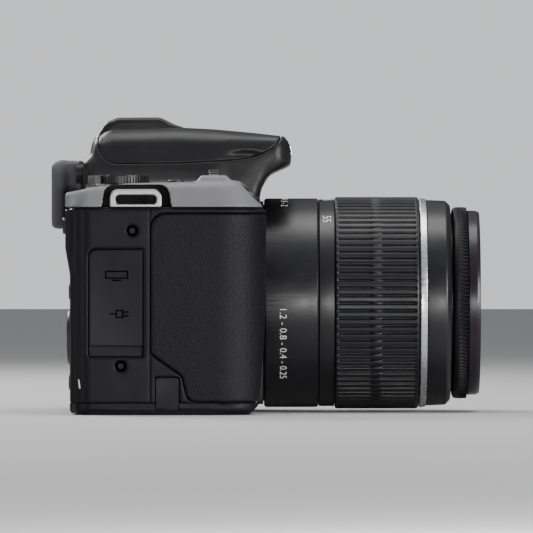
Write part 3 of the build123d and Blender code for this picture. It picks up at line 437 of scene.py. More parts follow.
# white marks: print, and also one painted glint on the rear corner
WHITE = paint("white_print_and_glint", (0.80, 0.80, 0.80))
TEAL = paint("teal_print", (0.03, 0.36, 0.44))
# near-black marks with almost no gloss: painted shade in the gaps round screw heads and in place of
# engraved signs
PAINTED_SHADE = paint("painted_shade", (0.001, 0.001, 0.0012), 0.8, 0.03)

SLOT_LOOK = {
    "body_plastic": BODY,
    "grip_leatherette": LEATHER,
    "soft_rubber": RUBBER,
    "lens_rubber": RIBS,
    "lens_plastic": LENS,
    "silver_ring": SILVER,
    "bright_metal": STEEL,
    "screw_steel": SCREW,
    "clear_glass": GLASS,
    "screen_gloss": GLOSS,
    "screen_shell": BODY,
    "flash_lens": DIFFUSER,
    "mirror_face": MIRROR,
    "inner_plastic": INNER,
    "sensor": SENSOR,
    "circuit_board": BOARD,
    "button_plastic": BUTTON,
    "dial_plastic": DIAL,
}
SLOT_OF = {row["node"]: row["material_slot"] for row in frame["record"]["subparts"]}

# ---------------------------------------------------------------- profiles

PLAN = arcs(
    [(-30.0, 53.4), (12.0, 53.4), (12.0, -44.5), (29.9, -44.5), (29.9, -69.0), (-30.0, -69.0)],
    [6.0, 9.0, 4.0, 6.5, 15.0, 5.0],
)
FLANK = arcs([(-32.4, 46.0), (-25.6, 67.0), (25.6, 67.0), (32.4, 46.0)], [0, 0, 0, 0])
GRIP = arcs(
    [(-6.4, 63.1), (60, 63.1), (60, 3.9), (5.4, 3.9), (3.4, 12.2), (-6.4, 19.2)],
    [5.0, 0, 0, 3.5, 2.5, 2.5],
)
THUMB = arcs(
    [(-24, -9), (-31.5, -9), (-31.5, 43.6), (-33.0, 52.0), (-33.0, 72), (-24, 72)], [0, 0, 6, 8, 0, 0]
)
THUMB_TOP = arcs([(-33.0, 50), (-33.0, 69.5), (-22.0, 71.4), (-22.0, 50)], [0, 1.4, 0, 0])
TOP_SIDE = arcs(
    [
        (-30.6, 55),
        (-30.6, 69.2),
        (-25.2, 70.7),
        (-20.0, 71.9),
        (-14.0, 72.5),
        (4.5, 72.9),
        (20.8, 73.4),
        (29.8, 65.2),
        (33.0, 55),
    ],
    [0, 2.0, 20, 20, 20, 40, 1.6, 2, 0],
)
HOOD = arcs([(6.6, 68), (9.2, 75.0), (17.8, 75.0), (20.6, 68)], [0, 1.6, 1.6, 0])
HUMP_SIDE = arcs(
    [
        (-28.5, 55),
        (-28.5, 79.5),
        (-26.1, 82.2),
        (-24.8, 87.0),
        (-20.0, 90.2),
        (2.2, 90.8),
        (13.5, 90.2),
        (26.3, 89.0),
        (35.6, 87.9),
        (37.0, 86.2),
        (37.8, 83.4),
        (37.8, 79.2),
        (36.6, 78.3),
        (30.8, 75.8),
        (28.4, 71.5),
        (27.5, 67.0),
        (28.3, 55),
    ],
    [0, 1.5, 3, 4, 6, 40, 40, 40, 1.2, 2.0, 4.0, 0.9, 2.5, 6, 6, 3, 0],
)
HUMP_FRONT = arcs(
    [
        (-20, 50),
        (44, 50),
        (44, 65.2),
        (36.0, 69.2),
        (30.6, 73.0),
        (28.0, 77.2),
        (26.8, 81.0),
        (25.0, 86.0),
        (21.2, 92.0),
        (14, 98),
        (-20, 98),
    ],
    [0, 0, 3, 10, 10, 12, 12, 10, 6, 0, 0],
)
HUMP_PLAN = arcs(
    [
        (-32.0, -20),
        (-32.0, 25.0),
        (-24.0, 33.5),
        (2.0, 38.5),
        (8.6, 37.8),
        (12.6, 32.5),
        (17.0, 27.4),
        (28.0, 26.0),
        (34.0, 24.6),
        (38.4, 21.0),
        (44.0, 18.0),
        (44.0, -20),
    ],
    [0, 3, 8, 8, 5, 8, 7, 10, 8, 4, 0, 0],
)
RIDGE = arcs(
    [
        (-26.0, 78),
        (-25.7, 84.6),
        (-24.5, 88.2),
        (-21.2, 92.6),
        (-17.6, 94.0),
        (-3.9, 94.1),
        (3.2, 90.5),
        (3.2, 78),
    ],
    [0, 3, 4, 4, 6, 6, 1, 0],
)
FLASH_SIDE = arcs(
    [
        (-17.0, 79.0),
        (4.0, 79.2),
        (14.0, 79.8),
        (22.6, 80.5),
        (27.6, 81.7),
        (31.3, 83.6),
        (33.8, 85.9),
        (35.0, 88.6),
        (35.2, 99),
        (-17.0, 99),
    ],
    [0, 40, 40, 20, 8, 5, 4, 3, 0, 0],
)
LUG_POCKET = arcs([(-22.0, 60), (-20.4, 71.8), (-0.9, 71.8), (0.9, 60)], [0, 3.2, 3.2, 0])
DOOR = arcs([(-25.5, 18.3), (-8.7, 18.3), (-8.7, 51.8), (-25.5, 51.8)], [0.8, 0.4, 0.4, 2.4])
EYECUP_FACE = arcs([(-17.5, 58.1), (17.5, 58.1), (17.5, 80.3), (-17.5, 80.3)], [5.5] * 4)
FLASH_HINGE = (-17.0, 85.6)
FLASH_REACH = 21.9
CENTRE_BLOCK = (-60.0, 3.5), (-14.7, 14.7), (60.0, 120.0)
MODE_DIAL = (-16.4, -52.0)
MAIN_DIAL = (13.6, -55.3, 68.9)
SHUTTER = (24.2, -55.0, 69.6)
SLOPE = (sin(radians(43)), 0, cos(radians(43)))
THUMB_FACE, PAD_FACE = -33.0, -31.5
SWING = (-28.4, 49.3)
TILT_Z = 30.2
REAR_KEYS = {
    "live_view_button": (-24.6, 61.2, 2.6),
    "menu_button": (36.5, 61.2, 2.6),
    "info_button": (27.0, 61.2, 2.6),
    "ae_lock_button": (-49.0, 59.2, 2.6),
    "af_point_button": (-58.5, 59.2, 2.6),
    "exposure_button": (-42.0, 38.6, 2.6),
    "playback_button": (-42.0, 10.0, 2.6),
}
SIDE_SCREWS = [(-11.9, -69.0, 57.6), (-15.5, -69.0, 15.3), (-14.0, 53.4, 58.0), (-14.0, 53.4, 12.0)]


def plan(x, y):
    return flat(PLAN, x, y)


def body_form(x, y, z):
    """The body's outline with the grip's front leaning back towards its foot."""
    lean = 0.995 * (x - 29.9) - 0.1033 * (z - 26.0)
    return smax(plan(x, y), lean, 2.0)


def along(x, y, z, start, way, radius):
    """Distance to an endless rod through a point."""
    dx, dy, dz = x - start[0], y - start[1], z - start[2]
    t = dx * way[0] + dy * way[1] + dz * way[2]
    return np.sqrt((dx - t * way[0]) ** 2 + (dy - t * way[1]) ** 2 + (dz - t * way[2]) ** 2) - radius


def screw_wells(x, y, z):
    wells = [
        np.maximum(ring_at(x, z, (sx, sz), 1.75), slab(y, sy - 1.3, sy + 1.3))
        for sx, sy, sz in SIDE_SCREWS
    ]
    return np.minimum(np.minimum(wells[0], wells[1]), np.minimum(wells[2], wells[3]))


def hump(x, y, z):
    a = np.abs(y)
    front = smax(flat(HUMP_SIDE, x, z), flat(HUMP_FRONT, a, z), 5.0)
    return smax(front, flat(HUMP_PLAN, x, a), 4.0)


def ridge(x, y, z):
    return smax(flat(RIDGE, x, z), np.abs(y) - 14.7, 2.4)


def flash_side(x, z):
    return np.minimum(flat(FLASH_SIDE, x, z), ring_at(x, z, FLASH_HINGE, 6.6))


def flash_space(x, y, z):
    return np.maximum(flash_side(x, z), -brick(x, y, z, *CENTRE_BLOCK))


def prism_cover(x, y, z):
    outer = smax(smin(hump(x, y, z), ridge(x, y, z), 1.6), 65.0 - z, 0.5)
    shell = smax(outer, -flash_space(x, y, z), SEAM)
    hollow = brick(x, y, z, (-24.0, 25.0), (-24.0, 24.0), (50, 76.6), 2.0)
    tower = brick(x, y, z, (-23.0, 0.0), (-10.0, 10.0), (60, 87.6), 1.0)
    shell = smax(shell, -np.minimum(hollow, tower), 0.4)
    shell = smax(shell, -brick(x, y, z, (-80, -3.1), (-10.75, 10.75), (90.3, 120), 0.3), 0.5)
    window = brick(x, y, z, (-40, -20), (-10.5, 10.5), (63.4, 76.0), 1.0)
    dioptre = np.maximum(ring_at(y, z, (-19.6, 76.0), 3.5), x + 27.5)
    mount = np.maximum(ring_at(y, z, (0, AXIS_Z), 33.0), 26.7 - x)
    return smax(shell, -np.minimum(np.minimum(window, dioptre), mount), 0.5)


def flash_head(x, y, z):
    head = smax(hump(x, y, z), flash_side(x, z) + 0.15, SEAM)
    centre = brick(x, y, z, (-60, 3.7), (-14.9, 14.9), (60, 120), 0.0)
    sweep = np.maximum(ring_at(x, z, FLASH_HINGE, FLASH_REACH), np.abs(y) - 14.9)
    head = smax(head, -np.minimum(centre, sweep), SEAM)
    scoop = np.sqrt(((x - 24.6) / 6.8) ** 2 + ((np.abs(y) - 26.6) / 2.2) ** 2 + ((z - 82.0) / 1.8) ** 2)
    head = smax(head, (1.0 - scoop) * 1.8, 0.5)
    return smax(head, -brick(x, y, z, (5.9, 20.7), (-18.2, 18.2), (70, 83.6), 0.6), 0.5)


def top_cover(x, y, z):
    lean = (plan(x, y) + (z - 65.0) * 0.42) * 0.92
    base = smax(flat(TOP_SIDE, x, z), lean, 3.0)
    thumb = smax(flat(THUMB_TOP, x, z), slab(y, -66.0, -37.0), 2.4)
    hood = smax(flat(HOOD, x, z), slab(y, MAIN_DIAL[1] - 8.4, MAIN_DIAL[1] + 8.4), 2.0)
    outer = smin(smin(base, thumb, 1.5), hood, 1.6)
    lugs = np.minimum(
        brick(x, y, z, (-24, 3), (-75, -61), (60, 80)), brick(x, y, z, (-24, 3), (45, 60), (60, 80))
    )
    inner = np.maximum(base + 2.2, -lugs)
    inner = np.maximum(inner, -brick(x, y, z, (9.8, 17.4), (-61.5, -49), (64.0, 80)))
    shell = smax(smax(outer, 65.0 - z, 0.7), -inner, 0.4)
    shell = smax(shell, -(hump(x, y, z) - 0.15), 0.5)
    side = flat(LUG_POCKET, x, z)
    pockets = np.maximum(side, np.minimum(y + 64.0, 48.4 - y))
    shell = smax(shell, -pockets, 0.8)
    recess = np.maximum(ring_at(x, y, MODE_DIAL, 11.0), 70.9 - z)
    stem = ring_at(x, y, MODE_DIAL, 2.6)
    dial = np.maximum(ring_at(y, z, MAIN_DIAL[1:], 8.4), np.abs(x - MAIN_DIAL[0]) - 2.0)
    bore = along(x, y, z, SHUTTER, SLOPE, 5.1)
    keys = np.minimum(ring_at(x, y, (1.6, -47.0), 2.65), ring_at(x, y, (1.6, -58.0), 2.65))
    neck = brick(x, y, z, (-40, -28.5), (-13.9, 13.9), (60, 90))
    holes = np.minimum(np.minimum(recess, stem), np.minimum(dial, bore))
    holes = np.minimum(np.minimum(holes, keys), neck)
    return smax(shell, -holes, 0.6)


def grip_area(x, y, z):
    """Where the grip's skin lies: negative inside."""
    wrap = np.maximum(flat(GRIP, x, z), y + 42.5)
    return np.maximum(wrap, -np.maximum(x - 13.5, -60.0 - y))


def round_housing(y, z, inset):
    return smin(ring_at(y, z, (0, AXIS_Z), 35.0 - inset), flat(FLANK, y, z) + inset, 3.0)


def front_cover(x, y, z):
    body = body_form(x, y, z)
    housing = smax(round_housing(y, z, 0.0), x - 26.8, 1.6)
    outer = smin(body, housing, 5.0)
    solid = smax(smax(outer, slab(z, 3.6, 65.0), 0.7), -6.4 - x, 0.4)
    hollow = np.minimum(body + 2.2, np.maximum(round_housing(y, z, 2.5), x - 24.0))
    hollow = np.minimum(hollow, ring_at(y, z, (0, AXIS_Z), 26.2))
    shell = smax(solid, -hollow, 0.4)
    skin = np.maximum(grip_area(x, y, z) - 0.1, -(body + 1.05))
    flap = brick(x, y, z, (-4.75, 2.85), (-80, -67.2), (0.95, 11.85), 0.6)
    remote = brick(x, y, z, (-15.2, 4.25), (51.7, 60), (19.75, 52.25), 0.6)
    release = ring_at(y, z, (42.6, AXIS_Z - 2), 5.4)
    flash = ring_at(y, z, (43.0, 58.2), 3.1)
    bore = along(x, y, z, SHUTTER, SLOPE, 5.1)
    holes = np.minimum(np.minimum(flap, remote), np.minimum(release, flash))
    holes = np.minimum(np.minimum(holes, bore), screw_wells(x, y, z))
    shell = smax(shell, -np.maximum(64.2 - z, -(body + 0.9)), 0.3)
    return smax(smax(shell, -skin, 0.4), -holes, 0.5)


def grip_rubber(x, y, z):
    body = body_form(x, y, z)
    return smax(smax(body, -(body + 1.0), 0.3), grip_area(x, y, z) + 0.1, 0.9)


def rear_cover(x, y, z):
    body = plan(x, y)
    thumb = smax(flat(THUMB, x, z), slab(y, -66.0, -37.0), 2.4)
    outer = smin(body, thumb, 2.0)
    solid = smax(smax(outer, slab(z, 3.6, 65.0), 0.7), x + 6.4, 0.4)
    deep = np.maximum(-27.8 - x, y + 34.2)
    shallow = -22.9 - x
    upper = np.maximum(np.maximum(-27.8 - x, 59.9 - z), y - 44)
    hollow = np.maximum(body + 2.2, np.minimum(np.minimum(deep, shallow), upper))
    hollow = np.maximum(hollow, -ring_at(x, y, SWING, 9.4))
    shell = smax(solid, -hollow, 0.4)
    recess = brick(x, y, z, (-60, -25.1), (-31.6, 44.0), (-20, 57.7), 0.8)
    well = np.maximum(ring_at(x, y, SWING, 7.4), np.abs(z - TILT_Z) - 10.5)
    mouth = brick(x, y, z, (-60, -25.1), (43.4, 90), (TILT_Z - 10.5, TILT_Z + 10.5), 0.4)
    cuts = np.minimum(np.minimum(recess, well), mouth)
    for ky, kz, kr in REAR_KEYS.values():
        cuts = np.minimum(cuts, np.maximum(ring_at(y, z, (ky, kz), kr + 0.25), x + 20))
    cuts = np.minimum(cuts, np.maximum(ring_at(y, z, (-51.0, 24.2), 8.9), x + 20))
    door = np.maximum(flat(DOOR, x, z) - 0.2, y + 67.3)
    ports = np.minimum(
        brick(x, y, z, (-23.6, -11.4), (-80, -60), (39.2, 44.0), 0.5),
        brick(x, y, z, (-23.6, -11.4), (-80, -60), (24.8, 29.6), 0.5),
    )
    remote = brick(x, y, z, (-15.25, 4.25), (51.7, 60), (19.75, 52.25), 0.6)
    cuts = np.minimum(np.minimum(cuts, door), np.minimum(ports, remote))
    cuts = np.minimum(cuts, screw_wells(x, y, z))
    shell = smax(shell, -np.maximum(64.2 - z, -(body + 0.9)), 0.3)
    return smax(shell, -cuts, 0.6)


def eyecup(x, y, z):
    flange = brick(x, y, z, (-38.6, -34.2), (-17.4, 17.4), (58.2, 80.3), 1.9)
    corners = flat(EYECUP_FACE, y, z)
    flange = smax(flange, corners, 1.5)
    neck = brick(x, y, z, (-36.0, -28.6), (-13.6, 13.6), (65.2, 80.0), 2.4)
    sides = brick(x, y, z, (-37.0, -28.6), (-16.0, 16.0), (71.0, 80.2), 2.0)
    rim = brick(x, y, z, (-30.2, -28.6), (-16.2, 16.2), (70.8, 80.2), 0.6)
    neck = smin(smin(neck, sides + 0.2, 1.0), rim, 0.3)
    window = brick(x, y, z, (-60, 0), (-10.4, 10.4), (63.4, 76.0), 1.6)
    funnel = window - np.clip((-35.4 - x) * 0.75, 0, 2.4)
    return smax(smin(flange, neck, 2.0), -funnel, 1.2)


def nose_plate(x, y, z):
    """Blank bright strip across the front of the nose."""
    skin = np.abs(hump(x, y, z) - 0.1) - 0.2
    window = brick(x, y, z, (35, 45), (-9.5, 9.5), (81.3, 86.0), 0.8)
    return smax(smax(skin, window, 0.3), 34 - x, 0.3)


prism = moulded("prism_housing", prism_cover, (-29, -40, 64), (39, 40, 95), FINEST,
                "root", "body_plastic", HUMP, "prism_cover")
moulded("nose_strip", nose_plate, (34, -11, 80), (39, 11, 88), 0.3, "root", "silver_ring", SILVER)
tint(prism, INNER, lambda x, y, z: hump(x, y, z) * (ridge(x, y, z) > 0) < -0.6)
moulded("flash_housing", flash_head, (-25, -29, 78), (38, 29, 92), FINEST,
        "flash", "body_plastic", HUMP, "flash_head")
top = moulded("top_shell", top_cover, (-34, -70, 64), (30, 55, 76), FINE,
              "root", "body_plastic", TOP, "top_cover")
tint(top, INNER, lambda x, y, z: flat(LUG_POCKET, x, z) < 0.25)
front = moulded("front_shell", front_cover, (-8, -70, 3), (30, 55, 66), FINE,
                "root", "body_plastic", BODY, "front_cover")
rear = moulded("rear_shell", rear_cover, (-35, -70, 3), (-5, 55, 66), FINE,
               "root", "body_plastic", BODY, "rear_cover")
for shell in (front, rear):
    tint(shell, INNER, lambda x, y, z: screw_wells(x, y, z) < 0.12)
tint(rear, INNER, lambda x, y, z: (flat(DOOR, x, z) < 0.35) & (y < -50) & (y > -68.9))
moulded("grip_skin", grip_rubber, (-8, -70, 3), (30, -42, 64), FINE,
        "root", "grip_leatherette", LEATHER, "grip_rubber")
moulded("eyecup_moulding", eyecup, (-39, -18, 57), (-28, 18, 81), FINEST,
        "root", "soft_rubber", CUP, "eyecup")

# ---------------------------------------------------------------- lens

rear_barrel = [(29.2, 31.4), (29.2, 32.9), (29.8, 33.5), (46.1, 33.5), (46.55, 33.05), (46.55, 30.0)]
ring_piece("rear_barrel", rear_barrel, [0.2, 0.3, 0.3, 0.2, 0.1, 0.2], "root", "lens_plastic", LENS)
zoom_band = [
    (46.65, 29.7), (46.65, 32.9), (46.95, 33.2), (51.7, 33.2), (51.7, 32.1), (78.7, 32.1), (78.7, 29.7),
]
ring_piece("zoom_band", zoom_band, [0.2] * 7, "zoom", "lens_plastic", LENS, "zoom_ring")
ring_piece("accent_band", [(78.8, 29.6), (78.8, 33.2), (79.2, 33.6), (81.1, 33.25), (81.1, 29.6)],
           [0.1, 0.15, 0.3, 0.2, 0.1], "root", "silver_ring", SILVER, "accent_ring")
front_sleeve = [
    (81.2, 29.5), (81.2, 33.0), (87.3, 32.75), (88.8, 31.2), (88.8, 27.8), (87.95, 27.8), (87.95, 29.5),
]
ring_piece("front_sleeve", front_sleeve, [0.2, 0.25, 1.0, 0.4, 0.2, 0.2, 0.2],
           "root", "lens_plastic", LENS, "lens_front_sleeve")
ring_piece("zoom_tube_wall", [(40, 26.05), (40, 27.25), (90.0, 27.25), (90.0, 26.05)],
           [0.2, 0.2, 0.4, 0.2], "zoom_tube", "lens_plastic", LENS, "zoom_barrel")

ZOOM_RIBS, FOCUS_RIBS = 88, 150


def tooth(angle, count, share, soft):
    """1 on a rib and 0 in the groove beside it, with sloping flanks."""
    phase = np.abs((angle * count / (2 * pi)) % 1.0 - 0.5) * 2
    return np.clip((share - phase) / soft + 0.5, 0, 1)


def zoom_sleeve():
    """Rubber sleeve with two rows of ribs and a shallower band between them."""
    x = np.concatenate([
        [51.85, 51.85, 52.1], [52.6, 52.9, 53.2], np.linspace(54, 62.4, 5), [62.9, 63.2, 63.5],
        [65.0], [66.3, 66.6, 66.9], np.linspace(68, 76.6, 5), [77.1, 77.35, 77.6],
        [78.3, 78.55, 78.55],
    ])
    outer = np.full(len(x), 33.95)
    outer[:3] = [32.2, 33.5, 33.8]
    outer[-3:] = [33.8, 33.5, 32.2]
    row = np.zeros(len(x))
    row[(x > 52.7) & (x < 63.3)] = 1
    row[(x > 66.5) & (x < 77.4)] = 1
    row[(x > 63.3) & (x < 66.5)] = 0.3

    def grooves(angle):
        return -row * 0.95 * (1 - tooth(angle, ZOOM_RIBS, 0.66, 0.30))

    profile = np.stack([x, outer], 1)[::-1]
    row = row[::-1]
    samples = ZOOM_RIBS * 12
    return lathe(profile, samples, grooves)


place, faces = zoom_sleeve()
piece("zoom_sleeve", place, faces, "zoom", "lens_rubber", RIBS, "zoom_grip")


def focus_grip():
    """Front ring: a smooth flare and a row of fine ribs."""
    points = [
        (89.3, 28.0, 0), (89.3, 29.4, 0), (89.6, 30.2, 0), (90.2, 30.6, 0), (91.0, 30.7, 0),
        (91.25, 30.7, 0), (91.3, 30.7, 1), (92.8, 30.7, 1), (94.0, 30.6, 1), (94.05, 30.55, 0),
        (94.15, 30.0, 0), (94.15, 28.0, 0),
    ][::-1]
    profile = [(x, r) for x, r, _ in points]
    share = np.array([s for _, _, s in points])

    def grooves(angle):
        return -share * 0.55 * (1 - tooth(angle, FOCUS_RIBS, 0.5, 0.3))

    return lathe(profile, FOCUS_RIBS * (8), grooves)


place, faces = focus_grip()
piece("focus_grip", place, faces, "focus", "lens_plastic", FOCUS)
ring_piece("focus_hub", [(70, 22.3), (70, 23.7), (90.7, 23.7), (90.7, 28.1), (92.3, 28.1), (92.3, 22.3)],
           [0.1, 0.1, 0.3, 0.1, 0.1, 0.1], "focus", "lens_plastic", INNER, "focus_ring")
bezel = [(94.25, 28.65), (94.25, 29.3), (94.5, 29.6), (97.1, 29.5), (98.1, 29.0), (98.1, 28.7)]
for n in range(7):
    x = 97.8 - n * 0.45
    bezel += [(x, 28.62), (x - 0.22, 28.8)]
bezel += [(94.5, 28.62), (94.4, 27.3)]
for n in range(6):
    t = (n + 1) / 7
    bezel += [(94.4 - 1.2 * t + 0.12, 27.3 - 5.8 * t), (94.4 - 1.2 * t - 0.1, 27.3 - 5.8 * t)]
bezel += [(93.1, 21.45), (92.4, 21.45), (92.4, 27.65), (94.2, 27.75)]
ring_piece("filter_bezel", bezel, [0.05] * len(bezel), "focus", "lens_plastic", BEZEL, "front_bezel")


def dome(name, back, rim, crown, radius, body, material, *nodes):
    """A lens element with a flat back and a domed front."""
    steps = 24
    a = np.linspace(0, 1, steps)
    front = [(rim + (crown - rim) * (1 - t * t), max(radius * t, 0.02)) for t in a[::-1]]
    profile = [(back, 0.02), (back, radius * 0.5), (back, radius)] + front
    place, faces = lathe(np.array(profile), 128)
    return piece(name, place, faces, body, "clear_glass", material, *nodes)


dome("front_lens", 88.0, 89.2, 94.2, 21.25, "focus", GLASS, "front_element")

# ---------------------------------------------------------------- carried-over nodes


def dress(node, material, width=0.25):
    """Gives a CAD node its look and softens its edges."""
    thing = NODES[node]
    thing.data.materials.clear()
    thing.data.materials.append(material)
    weld = thing.modifiers.new("weld", "WELD")
    weld.merge_threshold = 0.00001
    if width:
        edge = thing.modifiers.new("edges", "BEVEL")
        edge.width = width * MM
        edge.segments = 2
        edge.limit_method = "ANGLE"
        edge.angle_limit = radians(40)
        edge.harden_normals = True


# Nodes whose look is not that of their slot.
OTHER_LOOK = {"power_switch": GREY}

for node, slot in SLOT_OF.items():
    if not NODES[node].hide_render:
        dress(node, OTHER_LOOK.get(node, SLOT_LOOK[slot]))
NODES["strap_lugs"].modifiers["edges"].width = 0.45 * MM

# ---------------------------------------------------------------- printed marks, and marks of painted shade and a painted glint


HALF = 0.03    # half the thickness of a mark, which lies on its surface


def glyphs(text, size):
    """Solid of a line of figures: points across, up and out, in millimetres, and faces."""
    curve = bpy.data.curves.new("figures", "FONT")
    curve.body = text
    curve.size = size
    curve.align_x = "CENTER"
    curve.align_y = "CENTER"
    curve.resolution_u = 3
    curve.extrude = HALF
    curve.offset = -0.008 * size
    holder = bpy.data.objects.new("figures", curve)
    mesh = bpy.data.meshes.new_from_object(holder)
    place = np.array([v.co for v in mesh.vertices])
    faces = [list(f.vertices) for f in mesh.polygons]
    bpy.data.objects.remove(holder)
    bpy.data.curves.remove(curve)
    bpy.data.meshes.remove(mesh)
    return place, faces


def strokes(lines, width):
    """Solid bars along polylines given across and up."""
    place, faces = [], []
    for line in lines:
        for (ax, ay), (bx, by) in zip(line, line[1:]):
            way = np.array([bx - ax, by - ay])
            way = way / np.linalg.norm(way) * width / 2
            side = np.array([-way[1], way[0]])
            a, b = np.array([ax, ay]) - way, np.array([bx, by]) + way
            n = len(place)
            for out in (-HALF, HALF):
                place += [(*q, out) for q in (a - side, b - side, b + side, a + side)]
            faces += [
                [n + 3, n + 2, n + 1, n],
                [n + 4, n + 5, n + 6, n + 7],
                [n, n + 1, n + 5, n + 4],
                [n + 1, n + 2, n + 6, n + 5],
                [n + 2, n + 3, n + 7, n + 6],
                [n + 3, n, n + 4, n + 7],
            ]
    return np.array(place, float), faces


def ngon(x, y, radius, count=16):
    """Closed polyline round a point."""
    return [
        (x + radius * cos(2 * pi * k / count), y + radius * sin(2 * pi * k / count))
        for k in range(count + 1)
    ]


def mark(name, shape, place_of, body, material=WHITE):
    """Lays a flat solid on a surface: place_of turns across, up and out into x, y, z."""
    place, faces = shape
    at = np.stack(np.broadcast_arrays(*place_of(*place.T)), 1)
    mesh = bpy.data.meshes.new(name)
    mesh.from_pydata((at * MM).tolist(), [], faces)
    mesh.validate()
    thing = bpy.data.objects.new(name, mesh)
    bpy.context.scene.collection.objects.link(thing)
    mesh.materials.append(material)
    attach(thing, body)
    return thing


def round_lens(x0, degrees, radius):
    """Onto a barrel, with figures whose tops point forward and that read downwards on the right."""
    def place_of(u, v, w):
        angle = radians(degrees) - u / radius
        r = radius + HALF + w
        return x0 + v, r * np.sin(angle), AXIS_Z + r * np.cos(angle)
    return place_of


def on_side(x0, z0):
    """Onto the flat right side of the body, seen from the right."""
    return lambda u, v, w: (x0 + u, -69.0 - HALF - w, z0 + v)


def on_rear(face, y0, z0):
    """Onto a face square to the lens axis, seen from behind."""
    return lambda u, v, w: (face - HALF - w, y0 - u, z0 + v)


def on_top(x0, y0, height, turn=0.0):
    """Onto a level face, seen from above and behind, turned about the point."""
    a = radians(turn)

    def place_of(u, v, w):
        across, ahead = u * cos(a) - v * sin(a), u * sin(a) + v * cos(a)
        return x0 + ahead, y0 - across, height + HALF + w
    return place_of


# Zoom figures, the index they turn to and the distance scale behind it.
for figures, degrees in (("18", 18.7), ("24", 8.0), ("35", -6.0), ("55", -36.3)):
    mark(f"zoom_{figures}", glyphs(figures, 3.9), round_lens(49.1, degrees, 33.2), "zoom")
mark("zoom_index", strokes([[(0, -0.9), (0, 0.9)]], 0.7), round_lens(44.6, 18.7, 33.5), "root")
mark("distance_near", glyphs("1.2 - 0.8 - 0.4 - 0.25", 3.2), round_lens(35.2, -114.0, 33.5), "root")
mark("distance_far", glyphs("10 - 5 - 2", 3.2), round_lens(35.6, -13.0, 33.5), "root")

# Port signs on the side doors, a display, a plug and a round jack, drawn as flat near-black marks in place
# of engraved ones: their darkness is painted shade.
display = [[(-3.4, -1.0), (3.4, -1.0), (3.4, 1.1), (-3.4, 1.1), (-3.4, -1.0)], [(-1.2, -1.7), (1.2, -1.7)]]
plug = [
    [(-3.0, 0), (-1.0, 0)],
    [(-1.0, -1.1), (1.0, -1.1), (1.0, 1.1), (-1.0, 1.1), (-1.0, -1.1)],
    [(1.0, 0.6), (2.6, 0.6)],
    [(1.0, -0.6), (2.6, -0.6)],
]
mark("display_sign", strokes(display, 0.45), on_side(-16.8, 43.8), "terminal_door", PAINTED_SHADE)
mark("plug_sign", strokes(plug, 0.45), on_side(-15.9, 31.6), "terminal_door", PAINTED_SHADE)
mark("remote_sign", strokes([ngon(0, 0, 0.9), [(0, -0.9), (0, -2.6)]], 0.3),
     lambda u, v, w: (-4.0 - u, 53.43 + w, 44.0 + v), "remote_door", PAINTED_SHADE)

# Painted shade in the gaps round the heads of the side screws, drawn as dark rings, and a white stroke on
# the rear corner that is a painted glint.
for n, (sx, sy, sz) in enumerate(SIDE_SCREWS):
    out = -1 if sy < 0 else 1
    mark(f"screw_gap_shade_{n}", strokes([ngon(0, 0, 1.25, 20)], 0.6),
         lambda u, v, w: (sx - out * u, sy - out * (0.38 - w), sz + v), "root", PAINTED_SHADE)
corner_y = next(y for y in np.arange(-69.0, -60.0, 0.01) if plan(-28.5, y) < 0)
# painted glint: a short white stroke where light catches the rounded rear corner
mark("corner_glint", strokes([[(0.15, -1.2), (-0.15, 1.2)]], 0.4),
     lambda u, v, w: (-28.5 + u - w, corner_y - 0.05 - w - u, 9.7 + v), "root")

# Figures and ticks on the mode dial, with the index beside it.
DIAL_TOP, MARK_RADIUS = 75.0, 6.6
for n in range(12):
    turn = radians(30 * n)
    shape = glyphs(str(n // 2 + 1), 2.3) if n % 2 == 0 else strokes([[(0, -0.5), (0, 0.5)]], 0.45)
    x, y = MODE_DIAL[0] + MARK_RADIUS * cos(turn), MODE_DIAL[1] - MARK_RADIUS * sin(turn)
    place_of = on_top(x, y, DIAL_TOP, -30 * n)
    mark(f"dial_mark_{n:02d}", shape, place_of, "mode_dial")
mark("dial_index", strokes([[(0, -0.8), (0, 0.8)]], 0.6), on_top(-4.6, -49.0, 72.72, -14), "root")

# Generic signs beside the keys on the back.
SIGNS = {
    "menu": [[(-1.3, v), (1.3, v)] for v in (-0.7, 0.0, 0.7)],
    "info": [[(0, -0.9), (0, 0.25)], [(0, 0.8), (0, 0.95)]],
    "live": [ngon(0, 0, 0.9, 12)],
    "lock": [
        [(-0.9, -0.9), (0.9, -0.9), (0.9, 0.3), (-0.9, 0.3), (-0.9, -0.9)],
        [(-0.5, 0.4), (0, 1.1), (0.5, 0.4)],
    ],
    "points": [[(-1.0, 0.8), (-1.0, -0.8)], [(1.0, 0.8), (1.0, -0.8)], [(-0.1, 0), (0.1, 0)]],
    "plus": [[(-1.2, -0.7), (1.2, 0.7)], [(-1.1, 0.5), (-0.3, 0.5)], [(0.4, -0.5), (1.1, -0.5)]],
    "play": [[(-0.7, -0.9), (0.9, 0), (-0.7, 0.9), (-0.7, -0.9)]],
}
for sign, face, y, z, material in (
    ("menu", -30.0, 36.5, 65.2, WHITE),
    ("info", -30.0, 27.0, 65.2, WHITE),
    ("live", -30.0, -24.6, 65.2, WHITE),
    ("lock", THUMB_FACE, -49.0, 63.4, WHITE),
    ("points", THUMB_FACE, -58.5, 63.4, WHITE),
    ("lock_play", THUMB_FACE, -49.0, 55.0, TEAL),
    ("points_play", THUMB_FACE, -58.5, 55.0, TEAL),
    ("plus", PAD_FACE, -47.6, 38.6, WHITE),
    ("play", PAD_FACE, -47.6, 10.0, TEAL),
):
    lines = SIGNS["play" if sign.endswith("_play") else sign]
    mark(f"sign_{sign}", strokes(lines, 0.3), on_rear(face, y, z), "root", material)
